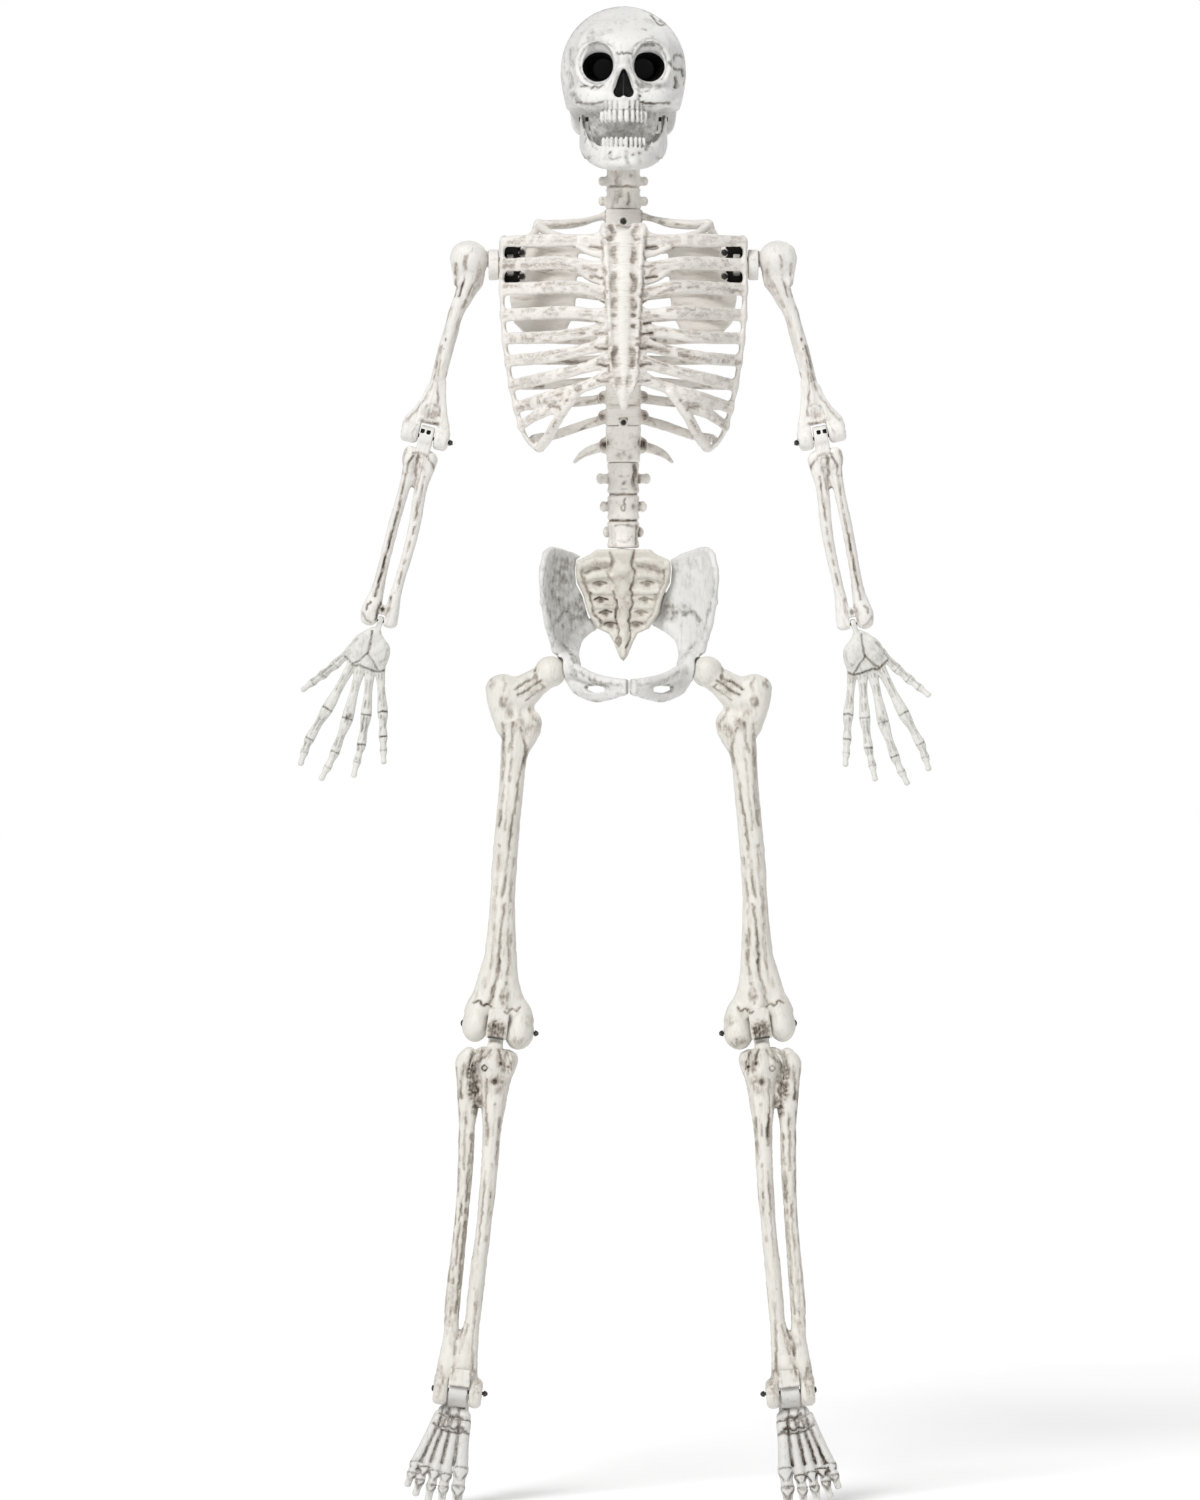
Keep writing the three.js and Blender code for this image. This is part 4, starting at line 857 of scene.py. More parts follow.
def neck():
    clay = Clay((-30, -48, 20), (30, -2, 144), 1.2)
    rings = [(48.6, 18.8), (52, 19.4), (60, 18.2), (67, 18.4), (71, 19.4), (73.4, 17.2), (75.8, 19.2),
             (84, 18.2), (92, 18.4), (96, 19.4), (98.4, 17), (100.8, 18.4), (108, 17), (119.6, 17)]
    clay.add(spine_rings(rings))
    for z in (58.2, 80.5, 105.0):
        for side in (1, -1):
            reach = 27.5 if z < 100 else 22.0
            clay.add(bar(on(side, [(12, -26, z, 4.5, 5.5), (reach - 5, -24, z, 3.4, 4.6)])), blend=3)
            clay.add(ball((side * (reach - 3.8), -24, z), (4.2, 5, 5.4)), blend=1)
        clay.add(bar([(0, -12, z, 3, 4), (0, -5, z - 3, 2.4, 3.6)]), blend=3)
    clay.add(spine_drum(117, 141, 9.0, 2), spine_drum(22.6, 50, 8.0, 1))
    clay.cut(drum((-40, -26, 134), (40, -26, 134), 3.1, 0.3))
    marks = [pit(-3, 62, 2.2, wash=0.5), stroke([(6, 66), (7, 58), (5, 53)], wash=0.5),
             stroke([(-9, 90), (-7, 84), (-9, 80)], wash=0.4), pit(9, 86, 2.0, wash=0.5),
             stroke([(-14, 73.4), (0, 73.4), (14, 73.4)], 1.2, 0.3, 0.6),
             stroke([(-14, 98.4), (0, 98.4), (14, 98.4)], 1.2, 0.3, 0.6)]
    return Cast(clay, marks, grain=(10, 10, 16), hollow_wash=0.55, seed=7)


# ---------------------------------------------------------------- rib cage and spine
SPLIT = -85.0       # the front and back of the rib cage meet on this plane
RAIL = [(134, 10), (134.4, -45), (131.6, -99), (128.4, -123), (124, -151), (118.4, -177), (111.6, -200),
        (104, -213), (95, -221)]
STERNUM = [
    (26.5, 0, -129, 23, 6), (20, 0, -131, 26, 7), (5, 0, -136, 23.5, 7), (-10, 0, -140, 22.5, 7),
    (-45, 0, -149, 20.5, 7), (-80, 0, -156, 18.5, 7), (-110, 0, -160, 17, 7), (-145, 0, -162, 14.5, 7),
    (-158, 0, -161, 11, 6.5), (-168, 0, -160, 6.5, 5.5), (-176, 0, -159, 4.2, 4.5), (-181, 0, -158, 2.6, 3),
]
# Where each front rib leaves the breastbone, its middle, its end on the rail, and half its height.
FRONT_RIBS = [
    ((20, -134, 6), (84, -122, 7.6), (131.5, -92, 8.8), 6.2),
    ((20, -142, -27), (69, -136, -18), (132, -92, -17.5), 6.2),
    ((18, -149, -54), (62, -144, -45), (133, -92, -44.5), 6.0),
    ((18, -154, -78), (66, -146, -73), (132, -92, -73), 6.0),
    ((15, -158, -91), (84, -142, -100), (130, -92, -98.5), 5.6),
    ((15, -161, -107), (84, -142, -122), (127, -92, -123.5), 5.6),
    ((14, -163, -125), (84, -140, -144), (122.6, -92, -150.5), 5.6),
    ((13, -164, -143), (84, -134, -166), (117.6, -92, -175), 5.6),
    ((66, -144, -171), (94, -122, -184), (113, -92, -194.5), 4.8),
]
ARCH = [(52, -149, -161), (70, -138, -186), (82, -116, -207), (92, -92, -219)]


def rail(side, centre):
    return beam(on(side, [(x, centre, z, 2.7, 8.5) for x, z in RAIL]))


def ribcage_front():
    clay = Clay((-143, -172, -230), (143, -84, 34), 1.35)
    clay.add(stack(STERNUM, power=3.0))
    clay.add(beam([(0, y - b + 0.6, z, 0.22 * a, 1.8) for z, _, y, a, b in STERNUM[1:-2]]), blend=3)
    for side in (1, -1):
        clay.add(beam([(side * 0.84 * a, y - b + 1.4, z, 2.6, 2.4) for z, _, y, a, b in STERNUM[1:-3]]),
                 blend=3)
        clay.add(rail(side, SPLIT - 1))
        for number, (start, middle, end, half) in enumerate(FRONT_RIBS):
            root = 1.0 if number == 8 else 1.3
            half *= 1.17
            quarter = [(s + m) / 2 for s, m in zip(start, middle)]
            knots = [(*start, 4.2, half * root),
                     (quarter[0] - 6, quarter[1] - 2, quarter[2], 4.0, half * 0.96),
                     (*middle, 4.2, half * 1.06), (*end, 3.6, half * (0.8 if number == 0 else 1.0))]
            clay.add(bar(on(side, knots)), blend=3.5)
            clay.add(ball((side * (end[0] + 0.6), -90, end[2]),
                          (3.6, 5, half * (0.85 if number == 0 else 1.05))), blend=3)
        clay.add(beam([(side * x, y, z, 5.6, 5.6) for x, y, z in ARCH]), blend=3)
        # Lower roots of the first ribs, which leave a slit above them.
        clay.add(bar(on(side, [(50, -134, 1, 3, 4), (36, -136, -7, 3, 3.6), (20, -139, -9, 3, 5)])),
                 bar(on(side, [(48, -139, -28, 3, 4), (34, -142, -37, 3, 3.4), (19, -146, -39, 3, 5)])),
                 blend=3)
        clay.add(bar(on(side, [(60, -124, 9, 4, 4.4), (80, -112, 15, 4.6, 5), (92, -90, 25, 5, 5)])),
                 blend=3)
    clay.cut(brick((-8, -150, 19), (8, -110, 40), 4), blend=4)
    clay.keep(1, -190, SPLIT - 0.15)

    marks = []
    troughs = [((15, 22), (11, 15), (15, 8)), ((11, -2), (12, -9), (10, -17)),
               ((10, -32), (12, -41), (10, -50)), ((10, -60), (11, -65), (10, -69)),
               ((9, -114), (11, -124), (9, -133)), ((6, -147), (6, -153))]
    for side in (1, -1):
        channel = [(side * (0.54 * a), z) for z, _, y, a, b in STERNUM[1:-3]]
        marks.append(stroke(channel, width=4.4, depth=0.9, wash=0.16))
        for n, run in enumerate(troughs):
            marks.append(stroke(on(side, run), width=3.4, depth=1.5, wash=0.62, broken=0.3,
                                wobble=1.2, seed=n + (20 if side > 0 else 0)))
        marks += [pit(side * 10.5, z, 3.0, depth=1.3, wash=0.9) for z in (-77, -89)]
        edge = [(side * (a + 1), z) for z, _, y, a, b in STERNUM[1:-3]]
        marks.append(stroke(edge, width=1.6, depth=0.3, wash=0.5, broken=0.7, wobble=1.0, seed=side + 6))
        for n, (start, middle, end, half) in enumerate(FRONT_RIBS):
            dirt = 0.85 if (n + side) % 3 == 0 else 0.55
            line = [(side * p[0], p[2]) for p in (start, middle, end)]
            low = [(x, z - 0.35 * half) for x, z in line]
            marks.append(stroke(low, width=3.2, depth=0.9, wash=dirt * 0.62, broken=0.85, wobble=2.0,
                                seed=3 * n + side))
            high = [(x, z + 0.6 * half) for x, z in line]
            marks.append(stroke(high, width=2.2, depth=0.5, wash=0.4, broken=1.0, wobble=1.6,
                                seed=5 * n + side))
            root = on(side, [(start[0] + 4, start[2] - half * 1.3), (start[0] + 16, start[2] - half)])
            marks.append(stroke(root, width=1.8, depth=0.3, wash=0.75, wobble=1.0, seed=n))
        marks += [pit(side * 63, -170, 2.0, wash=0.9), pit(side * 70, -180, 1.8, wash=0.8),
                  stroke(on(side, [(74, -192), (84, -205)]), 2.0, 0.5, 0.6, broken=0.5)]
    return Cast(clay, marks, grain=(34, 6, 5), hollow_wash=0.55, relief=0.6, streaks=0.34, seed=11)


# Each back rib: its height at the spine, at the back and at its outer end, and how far out and how
# deep that end lies.
BACK_RIBS = [
    (2, 12, 6, 122, -58), (-24, -14, -18, 122, -58), (-48, -38, -36, 122, -58),
    (-72, -66, -72, 132, -79), (-96, -94, -98, 130, -79), (-118, -118, -123, 127, -79),
    (-140, -146, -150, 123, -79), (-160, -168, -175, 117, -79), (-181, -202, -213, 102, -79),
]
SCREWS = {"neck_screw": (0, -52.3, 33.8), "waist_screw": (0, -52.3, -189.7)}
for side_name, way in SIDES.items():
    SCREWS[f"shoulder_screw_upper_{side_name}"] = (way * 111.8, SPLIT - 0.25, -3.3)
    SCREWS[f"shoulder_screw_lower_{side_name}"] = (way * 111.8, SPLIT - 0.25, -29.6)
BOSS, SOCKET = 4.6, 3.7
SHOULDER_AXIS = (-72, -16)


def shoulder_drum(start, end, radius, rounding, side=1):
    """A round bar along the axis of a shoulder, between two distances from the middle."""
    return drum((side * start, *SHOULDER_AXIS), (side * end, *SHOULDER_AXIS), radius, rounding)


def outline_distance(outline, u, v):
    """Signed distance in a plane to a closed outline, below nought inside."""
    points = np.array(outline, float)
    away = np.full(np.broadcast_shapes(u.shape, v.shape), 1e9)
    inside = np.zeros(away.shape, bool)
    for a, b in zip(points, np.roll(points, -1, axis=0)):
        step = b - a
        du, dv = u - a[0], v - a[1]
        t = np.clip((du * step[0] + dv * step[1]) / (step @ step), 0.0, 1.0)
        away = np.minimum(away, np.hypot(du - t * step[0], dv - t * step[1]))
        crosses = (v >= min(a[1], b[1])) & (v < max(a[1], b[1]))
        if abs(step[1]) > 1e-9:
            inside ^= crosses & (u < a[0] + (v - a[1]) * step[0] / step[1])
    return np.where(inside, -away, away)


def sheet(outline, middle, half, rounding=1.5):
    """A plate with an [x, z] outline, with its depth and half its thickness given by height."""
    heights = [z for _, z in outline]
    widths = [x for x, _ in outline]

    def measure(x, y, z):
        edge = outline_distance(outline, x, z) + rounding
        face = np.abs(y - by_height(middle, z)) - by_height(half, z) + rounding
        return eased((edge, face), rounding)

    thick = max(half.values())
    return (np.array([min(widths), min(middle.values()) - thick, min(heights)], float),
            np.array([max(widths), max(middle.values()) + thick, max(heights)], float), measure)


def ribcage_back():
    clay = Clay((-144, -90, -232), (144, 16, 52), 1.4)
    clay.add(brick((-19, -52, -193.3), (19, -0.2, 47.7), 3))
    clay.add(brick((-20.8, -52.2, 29), (20.8, -3, 47.7), 2), blend=1)
    for number, (near_spine, back, end, x_end, y_end) in enumerate(BACK_RIBS):
        for side in (1, -1):
            clay.add(bar([
                (side * 12, -14, near_spine, 4, 5.4),
                (side * 30, -4, near_spine + 0.25 * (back - near_spine), 3.6, 5.6),
                (side * 48, 2, (near_spine + back) / 2, 3.8, 5.4),
                (side * x_end * 0.76, -8, back, 4, 5.2),
                (side * (x_end - 3), y_end * 0.6, (back + end) / 2, 3.8, 5),
                (side * x_end, y_end, end, 3.6, 4.6),
            ]), blend=3)
            clay.add(ball((side * 22, -20, near_spine), (6.5, 10, 7)), blend=3)
    for z in range(-182, 30, 24):
        clay.add(beam([(0, -3, z + 6, 2.6, 7), (0, -1, z - 2, 2.2, 6)]), blend=2)
        clay.cut(brick((-30, -60, z + 11), (30, -49.5, z + 12.6), 0.5), blend=1)
    blade = [(50, 2), (60, 18), (96, 25), (122, 14), (127, -14), (127, -50), (122, -76), (106, -92),
             (84, -97), (66, -90), (54, -62)]
    for side in (1, -1):
        clay.add(rail(side, SPLIT + 1))
        way = blade if side > 0 else mirrored(blade)
        clay.add(sheet(way, {-113: 3, 24: 2}, {-113: 2.6, 24: 3.2}, 2), blend=2)
        clay.add(beam(on(side, [(75, 4, -92, 3, 3.4), (63, 4, -60, 2.6, 3), (56, 4, 4, 2.6, 3)])), blend=2)
        clay.add(bar(on(side, [(60, 7, -2, 3, 4), (92, 8, 6, 3.6, 4.6), (122, -8, 10, 4, 5),
                               (131, -62, 7, 5, 5)])), blend=3)
        clay.add(brick((side * 108, SPLIT + 0.15, -43), (side * 137.3, -56, 13), 4), blend=2)
        clay.add(bar(on(side, [(16, -42, 42, 4.4, 5), (32, -55, 36.5, 3.4, 3.6), (52, -68, 30.5, 4.8, 5),
                               (74, -75, 28.5, 5, 5.4), (94, -76, 29, 4.4, 4.8)])), blend=2.5)
        clay.add(bar(on(side, [(94, -76, 28.5, 5.6, 5.8), (99, -75, 19, 4.2, 4.2),
                               (108, -74, 10, 4, 4), (122, -74, 5, 4.4, 4.4)])), blend=2)
    clay.keep(1, SPLIT + 0.15, 30)
    for side in (1, -1):
        clay.cut(shoulder_drum(137.3, 162, 18, 0.3, side))
        clay.cut(brick((side * 113.5, -110, -36), (side * 132.7, -60, 8), 4))
        clay.cut(shoulder_drum(130, 146, 8.6, 0.2, side))
    clay.cut(spine_drum(20, 60, 8.6, 0.3), brick((-5.2, -60, -200), (5.2, -48.4, -184.2), 0.3))
    for x, y, z in SCREWS.values():
        clay.add(drum((x, y - 0.9, z), (x, y + 4, z), BOSS, 0.8), blend=0.8)
        clay.cut(drum((x, y - 9, z), (x, y + 2.6, z), SOCKET, 0.3),
                 drum((x, y, z), (x, y + 10, z), 2.0, 0.3))

    marks = [stroke([(-21, 29), (0, 28), (21, 29)], 1.0, 0.5, 0.5),
             stroke([(-18, -170), (0, -172), (18, -168)], 4.0, 0.1, 0.3, broken=0.4)]
    for side in (1, -1):
        marks.append(stroke(on(side, [(20.6, 46), (20.6, 30)]), 1.2, 0.3, 0.5))
        for n, (near_spine, back, end, x_end, _) in enumerate(BACK_RIBS):
            line = [(side * 26, near_spine - 1), (side * 60, back - 2), (side * x_end * 0.8, back - 2)]
            for face in ("front", "back"):
                marks.append(stroke(line, 2.2, 0.4, 0.6, face, broken=0.9, wobble=1.6, seed=4 * n + side))
            # Painted shade in the recess where each back rib leaves the spine.
            marks.append(pit(side * 25, near_spine - 1, 5.0, depth=0.4, wash=0.85))
        marks.append(stroke(on(side, [(100, 25), (118, 20), (134, 12)]), 1.6, 0.3, 0.4, broken=0.6))
        marks.append(stroke(on(side, [(40, 32), (66, 27), (92, 26)]), 1.6, 0.3, 0.5, broken=0.7))
    cast = Cast(clay, marks, grain=(34, 8, 6), hollow_wash=0.5, relief=0.4, streaks=0.4, seed=13)
    x, y, z = cast.points.T
    # The openings in the shoulder housings are painted black inside: painted shade.
    across, deep = (np.abs(x) > 112.5) & (np.abs(x) < 133.5), (y > SPLIT + 2.2) & (y < -57.5)
    cast.black = (across & deep & (z > -38) & (z < 9)) * 0.93
    return cast


def waist_block():
    clay = Clay((-58, -58, -240), (58, 2, -182), 1.1)
    clay.add(stack([(-233.0, 0, -26, 17.8, 25.5), (-231, 0, -26, 18.4, 26), (-212, 0, -26, 18.8, 26),
                    (-193.7, 0, -26, 19.6, 26)], power=9.0))
    clay.add(brick((-4.7, -52.3, -200), (4.7, -49, -187.4), 0.4), blend=0.4)
    for side in (1, -1):
        clay.add(ball((side * 21, -22, -214), (6.5, 9, 9)), blend=3)
        clay.add(bar(on(side, [(16, -19, -213, 4, 5.6), (34, -12, -218, 3.8, 5.4),
                               (46, -15, -224, 3, 4), (54.5, -22, -232.5, 1.8, 2)])), blend=3)
    clay.cut(spine_drum(-250, -206, 8.6, 0.3))
    x, y, z = SCREWS["waist_screw"]
    clay.cut(drum((x, y - 9, z), (x, y + 1.4, z), 2.4, 0.2))
    marks = [pit(-5, -226, 3.4, wash=0.5), pit(1, -224, 3.2, wash=0.45), pit(7, -227, 3.0, wash=0.5),
             ring(0, -189.7, 3.2, 3.2, width=0.7, depth=0.2, wash=0.5, wobble=0.2)]
    for side in (1, -1):
        # Painted shade in the recess round each knob beside the spine.
        marks.append(pit(side * 22, -213, 6.0, depth=0.3, wash=0.95))
        marks.append(stroke(on(side, [(28, -217), (50, -229)]), 1.8, 0.3, 0.4, broken=0.5))
    return Cast(clay, marks, grain=(12, 12, 12), hollow_wash=0.5, relief=0.2, streaks=0.2, seed=17)


VERTEBRAE = [(-233.6, -267.5, -251, 30), (-270.5, -297, -282, 26), (-299.5, -328.2, -310.5, 22.5)]


def lumbar():
    clay = Clay((-33, -48, -331), (33, 2, -205), 1.1)
    rings = []
    for top, bottom, _, _ in VERTEBRAE:
        middle = (top + bottom) / 2
        rings += [(top, 17.0), (top - 3, 17.9), (middle, 15.8), (bottom + 3, 17.9), (bottom, 16.6)]
        if bottom > -320:
            rings.append((bottom - 1.5, 15.2))
    clay.add(spine_rings(rings))
    clay.add(spine_drum(-240, -207.6, 8, 1))
    for top, bottom, knob, reach in VERTEBRAE:
        for side in (1, -1):
            clay.add(bar(on(side, [(10, -22, knob, 4, 6), (reach - 4.5, -20, knob, 3.6, 5)])), blend=3)
            clay.add(ball((side * (reach - 4.2), -20, knob), (4.6, 5.4, 6.2)), blend=1)
        clay.add(bar([(0, -10, knob, 3, 6), (0, -2, knob - 4, 2.4, 5)], hint=(1, 0, 0)), blend=3)
    marks = [
        stroke([(12, -237), (13.5, -246), (11, -256), (13, -262)], 3.0, 0.7, 0.9, broken=0.3),
        pit(0.5, -257, 2.2, wash=0.9), stroke([(-5, -249), (6, -249)], 1.4, 0.3, 0.5, broken=0.4),
        stroke([(-2, -263), (4, -263)], 1.0, 0.3, 0.5),
        stroke([(2, -274), (1, -278), (3, -281)], 1.0, 0.5, 0.9),
        ring(0, -284, 2.4, 3.4, width=1.0, depth=0.4, wash=0.8), pit(12, -283, 3.0, wash=0.6),
        stroke([(-9, -304), (2, -303), (12, -305)], 1.6, 0.3, 0.5),
        stroke([(14, -304), (14, -324)], 1.4, 0.4, 0.6),
        stroke([(-6, -320), (0, -322), (6, -319)], 1.6, 0.3, 0.5, broken=0.5),
        stroke([(-15, -268.8), (0, -269.4), (15, -268.8)], 1.3, 0.3, 0.9),
        stroke([(-15, -298), (0, -298.6), (15, -298)], 1.3, 0.3, 0.9),
    ]
    for top, bottom, knob, reach in VERTEBRAE:
        for side in (1, -1):
            marks.append(stroke(on(side, [(17.5, knob + 4), (17, knob - 4)]), 2.2, 0.2,
                                0.9 if side > 0 else 0.6, broken=0.3, seed=int(reach)))
    return Cast(clay, marks, grain=(12, 12, 14), hollow_wash=0.55, relief=0.3, streaks=0.3, seed=19)


# ---------------------------------------------------------------- pelvis
SACRUM_HALF = [(0, -330), (30, -330.5), (37, -336), (51, -342), (53, -352), (51.5, -367), (44, -382),
               (39, -401), (29, -418), (16, -424), (10, -436), (5, -449), (0, -455)]
FORAMINA = [(26.5, -369), (25, -387), (20, -401.5), (14.5, -414.5)]


def sacrum():
    clay = Clay((-55, -62, -458), (55, 2, -327), 1.1)
    outline = SACRUM_HALF + mirrored(SACRUM_HALF[1:-1])[::-1]
    middle = {-460: -42, -440: -34, -415: -24, -390: -20.5, -370: -20, -345: -24, -322: -32}
    half = {-460: 4, -440: 5.5, -415: 7, -370: 9.5, -322: 12}
    clay.add(sheet(outline, middle, half, 3.5))

    def front(z):
        return by_height(middle, z) - by_height(half, z)

    def rib(points):
        for side in (1, -1):
            clay.add(beam([(side * x, front(z) + 0.6, z, r, r) for x, z, r in points]), blend=1.6)

    column = [(-334, 12), (-344, 11), (-352, 14), (-362, 15), (-372, 11), (-388, 8), (-404, 7), (-424, 5.5),
              (-440, 4.4), (-450, 3)]
    clay.add(beam([(0, front(z) + 1.0, z, w, 4.8) for z, w in column]), blend=1.2)
    clay.add(ball((0, front(-352) - 1, -352), (8, 5, 7)), blend=3)
    clay.add(beam([(0, by_height(middle, z) + 8, z, 4, 5) for z in (-335, -360, -385, -410)]), blend=5)
    rib([(16, -343, 3.4), (30, -344, 4.6), (46, -350, 4.6)])
    rib([(49, -346, 3.4), (48, -362, 3.8), (40, -382, 3.6), (36, -399, 3.4), (27, -414, 3.2)])
    rib([(12, -360, 3), (26, -359, 4), (44, -364, 3.6)])
    for (x, z), (_, below) in zip(FORAMINA[:-1], FORAMINA[1:]):
        rib([(9, (z + below) / 2, 2.6), (x - 2, (z + below) / 2, 3.2), (x + 11, (z + below) / 2, 2.8)])
    for side in (1, -1):
        for x, z in FORAMINA:
            clay.cut(ball((side * x, front(z) - 1.6, z), (7.2, 5.2, 2.4)), blend=1.4)
    marks = [stroke([(11, -331), (9.5, -345), (13, -356), (9, -372), (10, -390), (6.5, -410), (8, -424),
                     (4, -440)],
                    1.5, 1.0, 0.9, broken=0.1, wobble=1.6),
             stroke([(-12, -376), (-7, -392), (-8.5, -408), (-5, -424), (-6, -438)], 1.4, 0.9, 0.75,
                    broken=0.2, wobble=1.4),
             stroke([(-14, -334), (-12, -346), (-17, -358), (-10, -370)], 1.8, 0.8, 0.55, broken=0.3,
                    wobble=1.6),
             ring(-5.5, -432, 2.6, 4.0, width=1.2, depth=0.6, wash=0.7)]
    for side in (1, -1):
        marks += [stroke(on(side, [(x - 7, z + 1.6), (x, z + 3), (x + 7, z + 1.2)]), 1.2, 0.5, 0.85,
                         wobble=0.8, seed=int(x)) for x, z in FORAMINA]
        marks += [pit(side * x, z, 3.6, depth=0.3, wash=0.62) for x, z in FORAMINA]
        marks += [
            stroke(on(side, ((46, -353), (43, -370), (36, -384), (33, -400), (24, -413))), 2.0,
                   0.9, 0.7, broken=0.3, wobble=1.8, seed=side + 4),
            stroke(on(side, [(17, -350), (30, -352), (43, -357)]), 2.2, 0.8, 0.6, broken=0.3, wobble=1.6),
            stroke(on(side, [(12, -414), (22, -384)]), 2.4, 0.3, 0.5, "back", broken=0.4),
        ]
        marks += [pit(side * 20, z, 3.0, face="back", wash=0.7) for z in (-352, -370, -388)]
    cast = Cast(clay, marks, grain=(14, 14, 18), hollow_wash=0.75, relief=0.8, streaks=0.3, seed=23)
    return roughen(cast, [((0, -366), (16, 9), 0.5), ((-30, -348), (14, 7), 0.45),
                          ((30, -349), (14, 8), 0.55), ((0, -394), (34, 26), 0.3)], size=6.0, depth=0.5)


# The wing of the hip bone is a plate that faces forwards and inwards: its middle, the ways along
# and across it, and half its thickness as a flat part and a rounded rest.
WING_MIDDLE, WING_ALONG, WING_ACROSS = (76.0, -52.0), (0.57, -0.82), (0.82, 0.57)
WING_FLAT, WING_ROUNDING = 1.2, 1.8
HIP_AXIS = (-50, -466.6)
WING = [(12, -329), (27, -336), (37, -352), (38.5, -368), (33, -388), (22, -408), (4, -438), (-6, -459),
        (-32, -460), (-28, -446), (-38, -430), (-50, -421), (-64, -415), (-66, -392), (-62, -362),
        (-50, -345), (-28, -336), (-10, -331)]


def wing_place(u, lift, z):
    return (WING_MIDDLE[0] + u * WING_ALONG[0] + lift * WING_ACROSS[0],
            WING_MIDDLE[1] + u * WING_ALONG[1] + lift * WING_ACROSS[1], z)


def wing_lift(u):
    return 5.0 - 0.0046 * u * u


